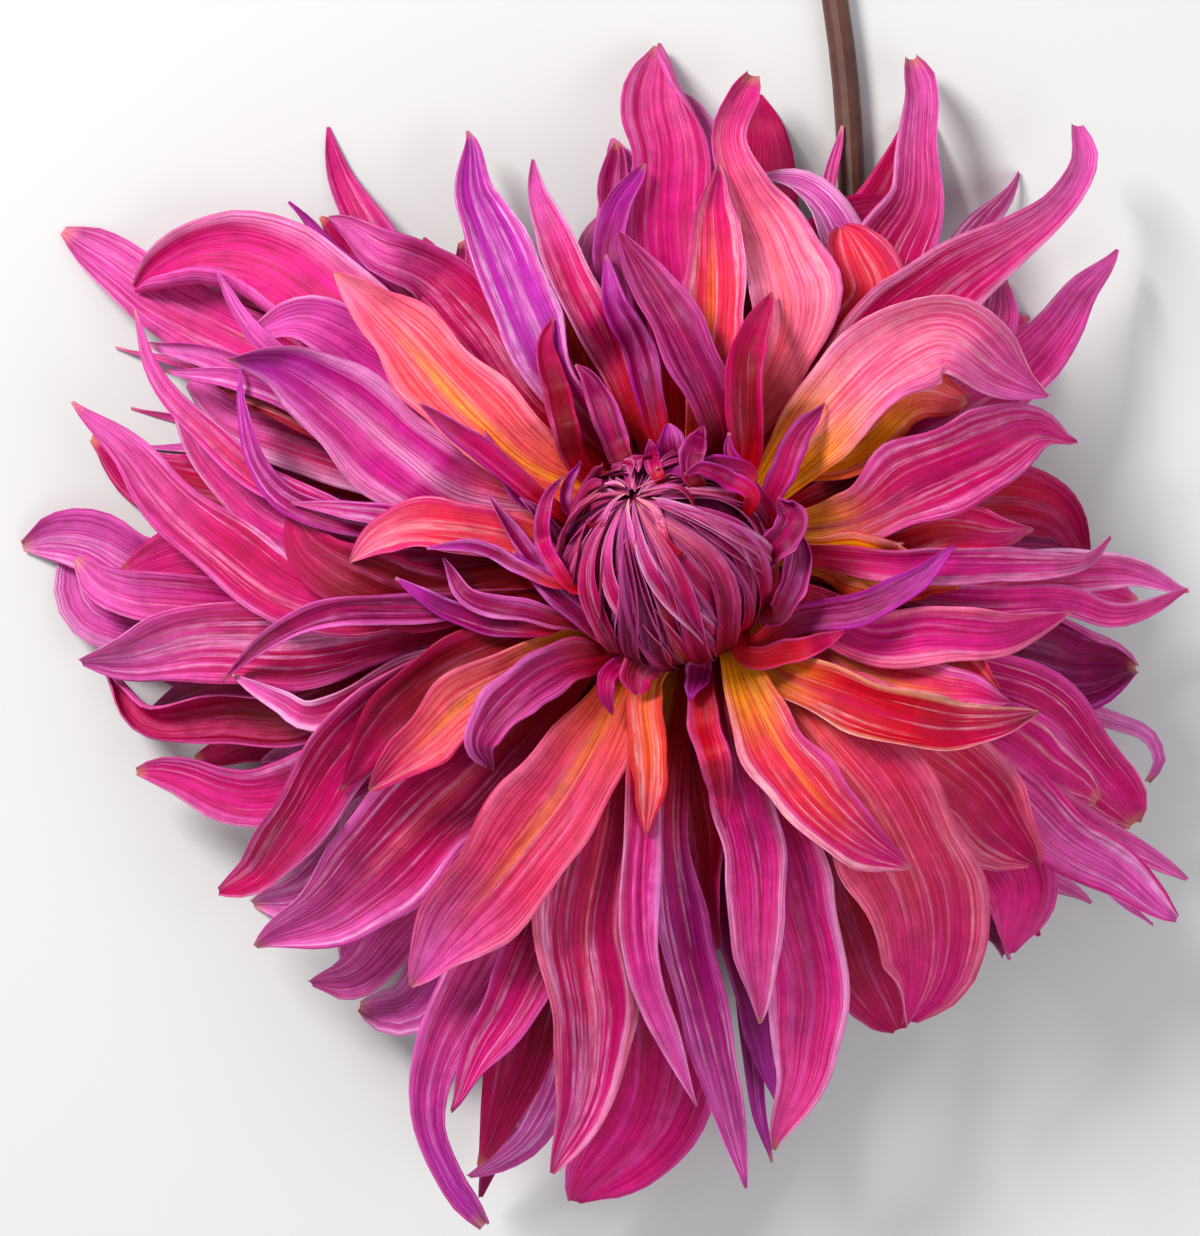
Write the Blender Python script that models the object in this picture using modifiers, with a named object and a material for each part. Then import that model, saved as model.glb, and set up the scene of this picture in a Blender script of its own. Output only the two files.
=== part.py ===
"""A cut dahlia flower lying face up: the bloom rests on its outer florets and the bare stem lies beside it.

Millimetres are used for every dimension below, and the meshes are written in metres.
+Z is up. The florets are placed by where their midribs lie when seen from above,
in steps of a 1200 by 1236 sheet whose pixel is SHEET_MM wide at the height Z_REF.
"""

import math
import random

import bmesh
import bpy
import numpy as np

# ---- driving dimensions, mm ----
SHEET_MM = 0.186          # one sheet step at Z_REF
SHEET_MID = (600.0, 618.0)
EYE_HEIGHT = 750.0        # the height the sheet is seen from
Z_REF = 55.0

HEAD = (670.0, 565.0)     # axis of the receptacle on the sheet
RECEPTACLE_STEPS = 72.0   # radius of the receptacle
RECEPTACLE_LOW, RECEPTACLE_HIGH = 24.0, 50.0
RING_STEPS = 77.5         # where a floret leaves the receptacle
BAND_STEPS = 84.0         # the band that joins a group of small florets
EVEN = 0.85               # how evenly the claws share the ring
BAND_WIDE, BAND_THICK = 1.8, 1.2

STEM_RADIUS_FAR, STEM_RADIUS_NEAR = 2.4, 2.8
STEM_END_Y = 200.0        # the cut end, before the origin is moved

BUD = (658.0, 550.0)
BUD_APEX = (636.0, 512.0)
BUD_STEPS = 98.0
BUD_RIM_Z, BUD_APEX_Z = 59.0, 75.5

FLORET_THICK = 0.8
CLAW_WIDE = 3.4
TIP_WIDE = 2.2
GAP = 0.30                # air left between two florets
CELL = 0.6                # cell of the map that keeps them apart
HEAD_TILT = 0.13          # the lower right side of the head sits higher

# Height of a floret's base, middle and tip by layer, the lowest layer first.
LAYER_Z = (
    (28.0, 21.0, -1.0), (29.0, 23.0, -1.0), (30.0, 26.0, 5.0), (32.0, 30.0, 10.0),
    (34.0, 34.0, 17.0), (37.0, 38.0, 23.0), (40.0, 43.0, 31.0), (43.0, 47.0, 39.0),
    (46.0, 52.0, 46.0), (48.0, 56.0, 54.0), (49.0, 59.0, 59.0), (50.0, 61.0, 62.0),
)
# Width along a floret, as a share of its greatest width.
WIDTH_AT = (0.0, 0.2, 0.45, 0.65, 0.82, 0.93, 1.0)
WIDTH_SHARE = (0.30, 0.52, 0.90, 1.0, 0.82, 0.50, 0.14)
# A blade that narrows early to a long tail, and one that stays broad to a rounded end.
TAIL_SHARE = (0.30, 0.60, 1.0, 0.90, 0.42, 0.28, 0.12)
BLUNT_SHARE = (0.30, 0.52, 0.94, 1.04, 0.98, 0.78, 0.30)
TAILED = ("R1", "R3", "R14", "U5", "B8")
BLUNT = ("R27", "R28", "B7", "L6", "R26", "B21", "B14", "B15", "B13", "L8", "R24", "L15", "R19a", "R19b")
# How far the margins stand above the midrib, as a share of the half width.
CUP_SHARE = (0.0, 0.06, 0.12, 0.15, 0.18, 0.22, 0.3)

COLOURS = {
    "M": (0.55, 0.01, 0.17), "P": (0.45, 0.015, 0.25), "C": (0.28, 0.003, 0.03),
    "S": (0.75, 0.11, 0.10), "Y": (0.80, 0.28, 0.06), "L": (0.75, 0.28, 0.60),
}

# name, node, layer, greatest width in steps, colour, midrib from the base to the tip
FLORETS = (
    # upper side of the bloom
    ("M4", "ray_floret_01", 1, 50, "M", "600,500 500,400 420,310 372,235 345,180 334,126"),
    ("M3", "outer_florets_north", 2, 28, "P", "590,500 480,390 400,310 345,262 312,230 284,208"),
    ("M2", "ray_floret_02", 3, 66, "M", "600,500 540,410 480,325 430,275 375,255 323,241"),
    ("M5", "outer_florets_north", 2, 61, "S", "610,490 560,400 515,330 482,288 452,263"),
    ("M1", "ray_floret_03", 6, 78, "Y", "600,520 545,470 480,415 420,350 370,300 335,272"),
    ("U1", "ray_floret_04", 4, 65, "L", "625,480 570,400 528,320 500,250 478,200 447,142"),
    ("U2", "ray_floret_05", 5, 43, "M", "650,470 615,370 580,300 556,240 540,200 540,160"),
    ("U3", "outer_florets_north", 1, 46, "P", "660,450 640,330 625,240 615,190 606,145"),
    ("U3b", "mid_florets_north", 4, 34, "P", "660,460 625,330 607,260 618,205 631,160"),
    ("U4b", "outer_florets_north", 1, 60, "L", "700,450 700,300 695,180 690,120 666,73"),
    ("U4", "ray_floret_06", 3, 82, "M", "690,450 675,330 665,220 668,150 655,95 647,48"),
    ("U5a", "mid_florets_north", 5, 60, "S", "715,440 712,330 713,240 707,165"),
    ("U5", "ray_floret_07", 4, 90, "Y", "765,470 790,340 778,250 748,190 730,135 752,76"),
    ("U7", "ray_floret_08", 2, 71, "L", "800,440 850,300 835,225 800,185 748,165"),
    ("U8", "outer_florets_north", 0, 19, "L", "790,450 820,300 830,180 836,125"),
    ("U9", "mid_florets_north", 3, 89, "S", "785,460 820,360 868,290 830,238"),
    ("M8", "inner_florets_north", 8, 50, "P", "722,445 705,385 675,325 645,275 619,232"),
    ("M9", "inner_florets_north", 7, 31, "P", "672,440 640,355 615,300 606,255"),
    ("S24", "inner_florets_north", 8, 36, "C", "745,460 745,400 748,345 772,293"),
    ("S25", "inner_florets_north", 8, 27, "C", "575,460 560,400 545,350 553,318"),
    ("S26", "inner_florets_north", 8, 29, "P", "620,455 605,410 590,380 576,365"),
    # right side
    ("R1", "ray_floret_09", 3, 96, "M", "790,470 850,340 890,250 915,200 917,140 918,95 910,60"),
    ("R2", "outer_florets_east", 1, 41, "L", "800,470 900,330 965,245 1000,195 1012,170"),
    ("R3", "ray_floret_10", 4, 87, "M", "790,470 870,350 950,280 1010,242 1055,208 1080,165 1075,126"),
    ("R4", "outer_florets_east", 1, 72, "L", "800,480 900,400 990,330 1016,285"),
    ("R5", "ray_floret_11", 2, 61, "M", "800,490 900,440 1000,385 1060,325 1085,280 1102,243"),
    ("R6", "ray_floret_12", 6, 85, "Y", "770,490 835,410 900,350 950,335 1000,372 1048,396"),
    ("R7", "ray_floret_13", 5, 86, "M", "780,560 850,520 920,480 990,450 1040,425 1075,420"),
    ("S23", "inner_florets_east", 9, 26, "P", "775,490 795,440 815,415 825,403"),
    ("R8", "ray_floret_14", 2, 78, "C", "800,540 900,520 990,500 1050,508 1100,548"),
    ("R9", "mid_florets_east", 5, 58, "S", "780,575 870,548 950,528 1030,543"),
    ("R11", "ray_floret_15", 3, 48, "M", "790,590 920,580 1040,572 1120,572 1190,580"),
    ("R12", "mid_florets_east", 5, 30, "L", "800,600 950,600 1060,600 1110,613 1155,609 1190,600"),
    ("S21", "inner_florets_east", 9, 31, "P", "750,645 800,618 860,608 910,585 955,546"),
    ("S22", "inner_florets_east", 9, 23, "C", "745,655 790,652 825,640 845,631"),
    ("R15", "ray_floret_16", 6, 55, "M", "770,640 860,635 930,632 1000,635 1070,612"),
    ("R13", "ray_floret_17", 3, 103, "P", "780,640 900,650 1000,650 1070,670 1128,690"),
    ("R14", "outer_florets_east", 2, 42, "L", "800,660 950,680 1060,705 1112,722 1146,735 1158,760 1147,781"),
    ("R18", "mid_florets_east", 5, 63, "S", "775,650 860,668 940,690 1010,690"),
    ("R17", "ray_floret_18", 7, 52, "Y", "765,660 850,698 930,722 990,722 1038,712"),
    ("R19b", "mid_florets_east", 3, 91, "S", "780,660 920,680 1030,715 1080,765 1118,832"),
    ("R19a", "mid_florets_east", 4, 81, "S", "780,670 900,700 1000,740 1045,775 1078,815"),
    ("R20", "ray_floret_19", 5, 65, "L", "780,680 900,730 1010,790 1070,845 1130,875 1185,898"),
    ("R22", "outer_florets_east", 1, 34, "L", "800,700 960,790 1080,860 1125,900 1155,922"),
    ("R23", "outer_florets_east", 1, 48, "M", "790,700 920,780 1010,850 1055,890 1080,914"),
    ("R26", "ray_floret_20", 5, 95, "S", "775,680 860,715 930,760 985,805 1025,868"),
    ("R24", "outer_florets_south", 2, 90, "C", "780,690 880,750 960,820 1015,880 1018,955"),
    ("R25", "outer_florets_east", 1, 62, "P", "770,700 860,790 930,870 980,930 990,958"),
    ("R27", "ray_floret_21", 6, 119, "S", "755,665 820,735 880,810 920,895 925,965 908,1022"),
    ("R28", "mid_florets_south", 3, 96, "C", "750,680 800,790 840,890 870,970 887,1032"),
    ("R29", "ray_floret_22", 7, 64, "Y", "715,665 762,725 800,785 850,835 908,868"),
    # lower side
    ("B1", "ray_floret_23", 7, 60, "P", "720,690 735,780 755,870 757,950 760,1023"),
    ("B2", "ray_floret_24", 5, 82, "P", "730,690 765,800 790,900 810,985 805,1050 790,1152"),
    ("B2b", "mid_florets_south", 3, 68, "P", "715,700 735,850 755,970 770,1050 787,1100"),
    ("B3", "ray_floret_25", 5, 50, "L", "680,690 672,820 685,940 712,1040 728,1110 739,1189"),
    ("B4", "outer_florets_south", 1, 24, "P", "710,700 735,900 752,1060 757,1120 767,1163"),
    ("B5", "ray_floret_26", 7, 37, "P", "645,700 645,800 638,900 648,980 675,1050 697,1106"),
    ("S19", "inner_florets_south", 9, 31, "C", "700,660 705,720 718,780 725,828"),
    ("B6", "ray_floret_27", 6, 89, "M", "620,700 600,820 580,930 590,1020 585,1100 552,1173"),
    ("B7", "ray_floret_28", 2, 118, "P", "650,700 655,900 655,1040 640,1120 585,1208"),
    ("B8", "ray_floret_29", 4, 78, "L", "600,700 555,850 490,960 440,1050 428,1120 450,1180 484,1225"),
    ("B10", "mid_florets_south", 3, 84, "C", "610,700 575,870 540,980 515,1080 461,1152"),
    ("B11", "outer_florets_south", 2, 52, "L", "620,700 590,900 565,1050 530,1130 463,1160"),
    ("B12", "outer_florets_south", 1, 41, "P", "610,700 560,900 510,1080 488,1198"),
    ("B13", "outer_florets_south", 2, 71, "L", "590,690 520,850 455,945 410,1000 364,993"),
    ("B14", "mid_florets_south", 3, 62, "M", "585,680 490,830 400,925 355,980 316,997"),
    ("B15", "outer_florets_south", 2, 50, "L", "585,680 470,830 370,900 335,975"),
    ("B17", "ray_floret_30", 5, 108, "M", "590,670 500,745 420,820 350,890 305,925 266,958"),
    ("B18", "ray_floret_31", 7, 96, "M", "620,690 570,780 510,860 455,925 411,986"),
    ("S20", "inner_florets_south", 9, 48, "P", "605,655 560,665 515,695 480,740 493,770"),
    ("C1", "ray_floret_32", 6, 58, "Y", "600,650 530,668 470,700 420,745 370,790"),
    # left side
    ("B20", "ray_floret_33", 5, 67, "M", "590,640 480,660 400,700 340,755 295,825 258,868 217,879"),
    ("B21", "outer_florets_west", 1, 65, "L", "580,650 440,760 350,850 300,895 256,912"),
    ("L1", "ray_floret_34", 4, 65, "M", "580,630 430,700 330,775 260,798 190,786 142,794"),
    ("L2", "mid_florets_west", 3, 59, "M", "580,630 420,690 320,745 265,768"),
    ("L3", "ray_floret_35", 3, 57, "C", "580,620 400,670 300,715 230,715 150,722 92,682"),
    ("L5", "ray_floret_36", 4, 85, "M", "580,610 400,625 290,640 200,642 130,660 82,668"),
    ("L9", "mid_florets_west", 3, 103, "C", "570,600 400,600 290,590 200,565 120,560"),
    ("L6", "ray_floret_37", 2, 76, "L", "570,595 400,590 250,580 150,570 90,540 50,528 20,531"),
    ("L8", "outer_florets_west", 2, 59, "L", "570,605 350,625 180,630 110,620 75,590 60,530"),
    ("L10", "ray_floret_38", 5, 65, "M", "560,590 400,605 300,600 220,545 160,490 115,430 85,392"),
    ("L11", "mid_florets_west", 4, 52, "L", "550,580 400,560 290,525 230,480 160,407"),
    ("L20", "ray_floret_39", 6, 91, "P", "560,540 470,500 400,455 340,405 285,368 229,359"),
    ("L17", "ray_floret_40", 3, 98, "C", "580,510 450,420 350,330 270,270 205,260 144,300"),
    ("L19", "mid_florets_west", 4, 72, "L", "570,520 470,430 390,370 310,325 244,313"),
    ("L15", "outer_florets_west", 2, 71, "M", "570,530 400,430 250,345 160,300 105,255 67,226"),
    ("L16", "outer_florets_west", 1, 34, "C", "570,520 400,420 260,350 190,300 160,252"),
    ("L13a", "outer_florets_west", 1, 24, "L", "560,560 350,450 220,380 118,341"),
    ("L13c", "outer_florets_west", 0, 22, "L", "560,575 380,510 250,460 139,437"),
    ("L14", "outer_florets_west", 2, 47, "C", "560,580 400,540 280,510 178,462"),
    # small inner florets round the bud
    ("S1", "inner_florets_west", 9, 22, "P", "575,525 530,490 475,445 419,403"),
    ("S3a", "inner_florets_west", 10, 17, "P", "590,620 545,575 512,530 486,493"),
    ("S5", "inner_florets_west", 9, 22, "P", "590,625 530,612 470,598 443,558"),
    ("S6", "inner_florets_west", 9, 22, "P", "610,640 530,628 450,610 396,578"),
    ("S15", "inner_florets_east", 10, 26, "P", "775,615 797,570 795,540 765,530"),
    ("S18", "inner_florets_south", 9, 24, "P", "705,640 700,665 690,700"),
)

# Florets under the head, hidden from above. The head rests on them: node, bearing.
BACK_FLORETS = (
    ("back_florets_north", 96), ("back_florets_north", 124),
    ("back_florets_west", 152), ("back_florets_west", 182), ("back_florets_west", 210),
    ("back_florets_south", 240), ("back_florets_south", 270), ("back_florets_south", 300),
    ("back_florets_east", 330), ("back_florets_east", 2), ("back_florets_east", 30),
)
BACK_STEPS = (84.0, 190.0, 300.0, 385.0)
BACK_Z = (27.0, 25.0, -2.0)
BACK_WIDE = 60.0

# Shorter florets between the traced ones: how many, how far out, and the bearing where each outer group ends.
FILLERS, FILLER_REACH, FILLER_WIDE = 20, 0.90, 84.0
GROUP_ENDS = ((-132, "outer_florets_west"), (-56, "outer_florets_north"), (47, "outer_florets_east"),
              (137, "outer_florets_south"), (181, "outer_florets_west"))
BRACTS = 8

# The centre line of the stem on the sheet, with its height.
STEM = (
    (835, 0, 2.6), (842, 50, 2.6), (847, 100, 2.6), (850, 150, 2.7), (852, 218, 2.8),
    (848, 300, 2.8), (830, 380, 2.9), (795, 448, 3.4), (752, 498, 5.2),
    (712, 532, 9.0), (685, 553, 14.5), (672, 563, 20.0), (670, 565, 22.6),
)


def place(step, z):
    """Millimetres of a sheet position at this height."""
    scale = SHEET_MM * (EYE_HEIGHT - z) / (EYE_HEIGHT - Z_REF)
    return np.stack(
        [(step[..., 0] - SHEET_MID[0]) * scale, (SHEET_MID[1] - step[..., 1]) * scale, z + 0 * scale],
        axis=-1,
    )


def tilt_at(step):
    """How much the head's tilt lifts a sheet position."""
    along = ((step[..., 0] - HEAD[0]) + (step[..., 1] - HEAD[1])) * 0.7071 * SHEET_MM
    return HEAD_TILT * np.clip(along, -60.0, 60.0)


def curve_through(points, count):
    """count + 1 stations, evenly spaced along a smooth curve through the points."""
    p = np.array(points, float)
    ends = np.vstack([2 * p[0] - p[1], p, 2 * p[-1] - p[-2]])
    out = []
    for i in range(len(p) - 1):
        a, b, c, d = ends[i : i + 4]
        t = np.linspace(0, 1, 24, endpoint=False)[:, None]
        out.append(
            0.5 * (2 * b + (c - a) * t + (2 * a - 5 * b + 4 * c - d) * t**2 + (3 * b - a - 3 * c + d) * t**3)
        )
    line = np.vstack(out + [p[-1:]])
    run = np.concatenate([[0], np.cumsum(np.linalg.norm(np.diff(line[:, :2], axis=0), axis=1))])
    at = np.linspace(0, run[-1], count + 1)
    return np.stack([np.interp(at, run, line[:, k]) for k in range(p.shape[1])], axis=1)


def traced(text, layer):
    """The floret's own midrib points, without those hidden near the head."""
    points = [tuple(float(n) for n in pair.split(",")) for pair in text.split()]
    near = RING_STEPS + 22 if layer > 7 else 132 + 6 * (7 - layer)
    return [p for p in points if math.dist(p, HEAD) > near]


def bearings_of(rows):
    """Where each floret leaves the head: its own side, but evenly spread, as the claws share the ring."""
    wanted = {}
    for name, _, layer, _, _, text in rows:
        far = traced(text, layer)
        share = 0.3 if layer > 7 else 0.35 + 0.05 * (7 - layer)
        x, y = (far[0][k] * (1 - share) + far[-1][k] * share - HEAD[k] for k in (0, 1))
        wanted[name] = (layer > 7, math.atan2(y, x))
    out = {}
    for inner in (False, True):
        names = sorted((n for n in wanted if wanted[n][0] == inner), key=lambda n: wanted[n][1])
        even = [2 * math.pi * (i + 0.5) / len(names) - math.pi for i in range(len(names))]
        offset = sum(wanted[n][1] - e for n, e in zip(names, even)) / len(names)
        for n, e in zip(names, even):
            out[n] = EVEN * (e + offset) + (1 - EVEN) * wanted[n][1]
    return out


def from_ring(text, ring, layer, bearing):
    """The midrib as sheet positions, starting on the ring where the floret leaves the head."""
    return [(HEAD[0] + ring * math.cos(bearing), HEAD[1] + ring * math.sin(bearing))] + traced(text, layer)


def filler_rows():
    """Node and midrib of each shorter floret, which ends inside the outline of the traced ones."""
    tips = []
    for _, _, _, _, _, text in FLORETS:
        x, y = (float(n) for n in text.split()[-1].split(","))
        tips.append((math.atan2(y - HEAD[1], x - HEAD[0]), math.hypot(x - HEAD[0], y - HEAD[1])))
    rng = random.Random("fillers")
    rows = []
    for i in range(FILLERS):
        turn = 2 * math.pi * (i + rng.uniform(-0.3, 0.3)) / FILLERS - math.pi
        near = sorted(r for b, r in tips if abs((b - turn + math.pi) % (2 * math.pi) - math.pi) < 0.13)
        reach = max((near[-1] if near else 380.0) * FILLER_REACH * rng.uniform(0.9, 1.04), 200)
        bend = rng.uniform(-0.07, 0.07)
        midrib = [
            (HEAD[0] + r * math.cos(turn + bend * k), HEAD[1] + r * math.sin(turn + bend * k))
            for k, r in enumerate((BAND_STEPS, 0.45 * reach, 0.75 * reach, reach))
        ]
        node = next(name for end, name in GROUP_ENDS if math.degrees(turn) < end)
        rows.append((node, midrib, FILLER_WIDE * rng.uniform(0.85, 1.15)))
    return rows


class Strip:
    """A sheet that follows a line of stations, and can be lifted station by station."""

    def __init__(self, steps, z, half, cup, thick, across):
        self.steps, self.z, self.half, self.cup = steps, z, half, cup
        self.thick, self.across = thick, across

    def sheet(self):
        """Points of the middle of the sheet, stations by places across."""
        mid = place(self.steps, self.z)
        along = np.gradient(mid, axis=0)
        along /= np.linalg.norm(along, axis=1, keepdims=True)
        side = np.stack([-along[:, 1], along[:, 0], 0 * along[:, 0]], axis=1)
        side /= np.linalg.norm(side, axis=1, keepdims=True)
        up = np.cross(along, side)
        t = np.linspace(-1, 1, self.across + 1)
        return (
            mid[:, None]
            + side[:, None] * (self.half[:, None] * t)[..., None]
            + up[:, None] * ((self.cup * self.half)[:, None] * t**2)[..., None]
        )


def cells_faces(rows, columns):
    """Two triangles to a cell, all split the same way."""
    faces = []
    for i in range(rows):
        for j in range(columns):
            a = i * (columns + 1) + j
            b, c, d = a + 1, a + columns + 2, a + columns + 1
            faces += [(a, c, b), (a, d, c)] if (j < columns / 2) else [(a, d, b), (b, d, c)]
    return np.array(faces)


def mesh_normals(points, faces):
    flat = points.reshape(-1, 3)
    a, b, c = (flat[faces[:, k]] for k in range(3))
    normal = np.cross(b - a, c - a)
    out = np.zeros_like(flat)
    for k in range(3):
        np.add.at(out, faces[:, k], normal)
    return out / np.maximum(np.linalg.norm(out, axis=1, keepdims=True), 1e-9)


class Map:
    """The highest surface so far over each cell of the floor."""

    SIZE = 640

    def __init__(self):
        self.top = np.full((self.SIZE, self.SIZE), -GAP)

    def cell(self, xy):
        return np.clip((xy / CELL + self.SIZE / 2).astype(int), 0, self.SIZE - 1)

    def spread(self):
        wide = self.top.copy()
        for axis in (0, 1):
            wide = np.maximum(wide, np.maximum(np.roll(wide, 1, axis), np.roll(wide, -1, axis)))
        return wide

    def stamp(self, points):
        at = self.cell(points[:, :2])
        np.maximum.at(self.top, (at[:, 0], at[:, 1]), points[:, 2])


def face_samples(points, faces, across=0):
    """Points spread over the triangles, with the station each lies at, as a fraction."""
    a, b, c = (points[faces[:, k]] for k in range(3))
    longest = max(np.linalg.norm(b - a, axis=1).max(), np.linalg.norm(c - b, axis=1).max(), 1.0)
    n = min(int(math.ceil(longest / 0.5)), 90)
    i, j = np.meshgrid(np.arange(n + 1), np.arange(n + 1), indexing="ij")
    keep = (i + j) <= n
    u, v = (i[keep] / n)[None, :, None], (j[keep] / n)[None, :, None]
    out = a[:, None] * (1 - u - v) + b[:, None] * u + c[:, None] * v
    row = faces // (across + 1)
    u, v = u[..., 0], v[..., 0]
    station = row[:, :1] * (1 - u - v) + row[:, 1:2] * u + row[:, 2:3] * v
    return out.reshape(-1, 3), station.reshape(-1)


def drape(strip, wide, rounds=16):
    """Lifts the strip's stations until its underside clears the map."""
    rows = len(strip.steps) - 1
    faces = cells_faces(rows, strip.across)
    for _ in range(rounds):
        sheet = strip.sheet().reshape(-1, 3)
        normal = mesh_normals(sheet, faces)
        lift = np.zeros(rows + 1)
        for sign in (-1, 1):
            points, station = face_samples(sheet + sign * normal * strip.thick / 2, faces, strip.across)
            at = space_cell(points)
            need = np.maximum(wide[at[:, 0], at[:, 1]] + GAP - points[:, 2], 0)
            low = np.clip(station.astype(int), 0, rows - 1)
            t = station - low
            both = (1 - t) ** 2 + t**2
            np.maximum.at(lift, low, need * (1 - t) / both)
            np.maximum.at(lift, low + 1, need * t / both)
        if lift.max() < 0.03:
            break
        # A share at a time, so that no station ends higher than it has to.
        strip.z = strip.z + lift * (0.55 if lift.max() > 0.3 else 1.0)
    return strip


def space_cell(points):
    return (points[:, :2] / CELL + Map.SIZE / 2).astype(int).clip(0, Map.SIZE - 1)


def outline_samples(strip):
    sheet = strip.sheet().reshape(-1, 3)
    faces = cells_faces(len(strip.steps) - 1, strip.across)
    normal = mesh_normals(sheet, faces)
    both = [face_samples(sheet + s * normal * strip.thick / 2, faces)[0] for s in (-1, 1)]
    return np.vstack(both)


def floret_strip(midrib, layer_z, wide, end, rows, across, ring):
    steps = curve_through(midrib, rows)
    s = np.linspace(0, 1, rows + 1)
    a, b, c = layer_z
    # A smooth rise to the middle and a fall to the tip.
    z = a * (1 - s) * (1 - 2 * s) + 4 * b * s * (1 - s) + c * s * (2 * s - 1)
    z = np.maximum(z + tilt_at(steps), 0.5 if c > 0 else -2.0)
    share = TAIL_SHARE if end in TAILED else BLUNT_SHARE if end in BLUNT else WIDTH_SHARE
    full = wide * SHEET_MM * np.interp(s, WIDTH_AT, share)
    claw = CLAW_WIDE + np.clip(s / 0.3, 0, 1) * 100
    full = np.maximum(np.minimum(full, claw), TIP_WIDE)
    return Strip(steps, z, full / 2, np.interp(s, WIDTH_AT, CUP_SHARE), FLORET_THICK, across)


def band_strip(bearings, z):
    """A short curved band at the head, which the florets of a group grow from."""
    low, high = min(bearings) - 0.08, max(bearings) + 0.08
    count = max(4, int(math.ceil((high - low) / 0.14)))
    turn = np.linspace(low, high, count + 1)
    steps = np.stack([HEAD[0] + BAND_STEPS * np.cos(turn), HEAD[1] + BAND_STEPS * np.sin(turn)], axis=1)
    heights = z + tilt_at(steps)
    return Strip(steps, heights, np.full(count + 1, BAND_WIDE / 2), np.zeros(count + 1), BAND_THICK, 1)


def solid_from_strip(name, strip):
    """The sheet as a mesh object, thickened by a Solidify."""
    sheet = strip.sheet().reshape(-1, 3)
    faces = cells_faces(len(strip.steps) - 1, strip.across)
    mesh = bpy.data.meshes.new(name)
    mesh.from_pydata([tuple(p / 1000) for p in sheet], [], [tuple(int(k) for k in f) for f in faces])
    mesh.update()
    obj = bpy.data.objects.new(name, mesh)
    thicken = obj.modifiers.new("thickness", "SOLIDIFY")
    thicken.thickness = strip.thick / 1000
    thicken.offset = 0
    return obj


def freeze(obj):
    """Replaces the object's mesh by its evaluated one."""
    graph = bpy.context.evaluated_depsgraph_get()
    mesh = bpy.data.meshes.new_from_object(obj.evaluated_get(graph))
    obj.modifiers.clear()
    obj.data = mesh


def face_out(mesh):
    bm = bmesh.new()
    bm.from_mesh(mesh)
    bmesh.ops.recalc_face_normals(bm, faces=bm.faces)
    bm.to_mesh(mesh)
    bm.free()


def material(name, colour, roughness=0.55):
    made = bpy.data.materials.new(name)
    made.use_nodes = True
    shader = made.node_tree.nodes["Principled BSDF"]
    shader.inputs["Base Color"].default_value = (*colour, 1)
    shader.inputs["Roughness"].default_value = roughness
    return made


def add(obj, colour):
    """Puts the object in the flower's collection with a material of its own."""
    FLOWER.objects.link(obj)
    obj.data.materials.clear()
    obj.data.materials.append(material(obj.name, colour))


def revolve(name, rings):
    """A closed solid through rings of points, each end closed by a point."""
    mesh = bpy.data.meshes.new(name)
    sides = len(rings[1])
    verts, faces = [tuple(rings[0][0])], []
    for ring in rings[1:-1]:
        verts += [tuple(p) for p in ring]
    verts.append(tuple(rings[-1][0]))
    last = len(verts) - 1
    for j in range(sides):
        k = (j + 1) % sides
        faces.append((0, 1 + k, 1 + j))
        for i in range(len(rings) - 3):
            a, b = 1 + i * sides, 1 + (i + 1) * sides
            faces += [(a + j, a + k, b + k), (a + j, b + k, b + j)]
        a = 1 + (len(rings) - 3) * sides
        faces.append((last, a + j, a + k))
    mesh.from_pydata([tuple(c / 1000 for c in v) for v in verts], [], faces)
    mesh.update()
    face_out(mesh)
    return bpy.data.objects.new(name, mesh)


def make_stem():
    points = []
    for i, (u, v, z) in enumerate(STEM):
        x, y, z = place(np.array([float(u), float(v)]), np.float64(z))
        points.append((x, y, z))
    x, y, z = points[0]
    dx, dy = points[0][0] - points[1][0], points[0][1] - points[1][1]
    far = [(x + dx / dy * (STEM_END_Y - y), STEM_END_Y, 2.55)]
    far.append((x + dx / dy * (STEM_END_Y - y) / 2, (STEM_END_Y + y) / 2, 2.5))
    tip = points[-1]
    points = far + points + [(tip[0], tip[1], RECEPTACLE_LOW - 0.35)]
    line = curve_through(points[:-1], 26)
    line = np.vstack([line, points[-1]])
    curve = bpy.data.curves.new("cut_stem", "CURVE")
    curve.dimensions = "3D"
    curve.bevel_depth = 1.0
    curve.bevel_resolution = 4
    curve.use_fill_caps = True
    spline = curve.splines.new("POLY")
    spline.points.add(len(line) - 1)
    radii = STEM_RADIUS_FAR + (STEM_RADIUS_NEAR - STEM_RADIUS_FAR) * np.clip(np.linspace(0, 1.6, len(line)), 0, 1)
    for i, (p, r) in enumerate(zip(line, radii)):
        p = np.array([p[0], p[1], max(p[2], r)])
        spline.points[i].co = (*(p / 1000), 1)
        spline.points[i].radius = r / 1000
        line[i] = p
    return bpy.data.objects.new("cut_stem", curve), line, radii


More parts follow.
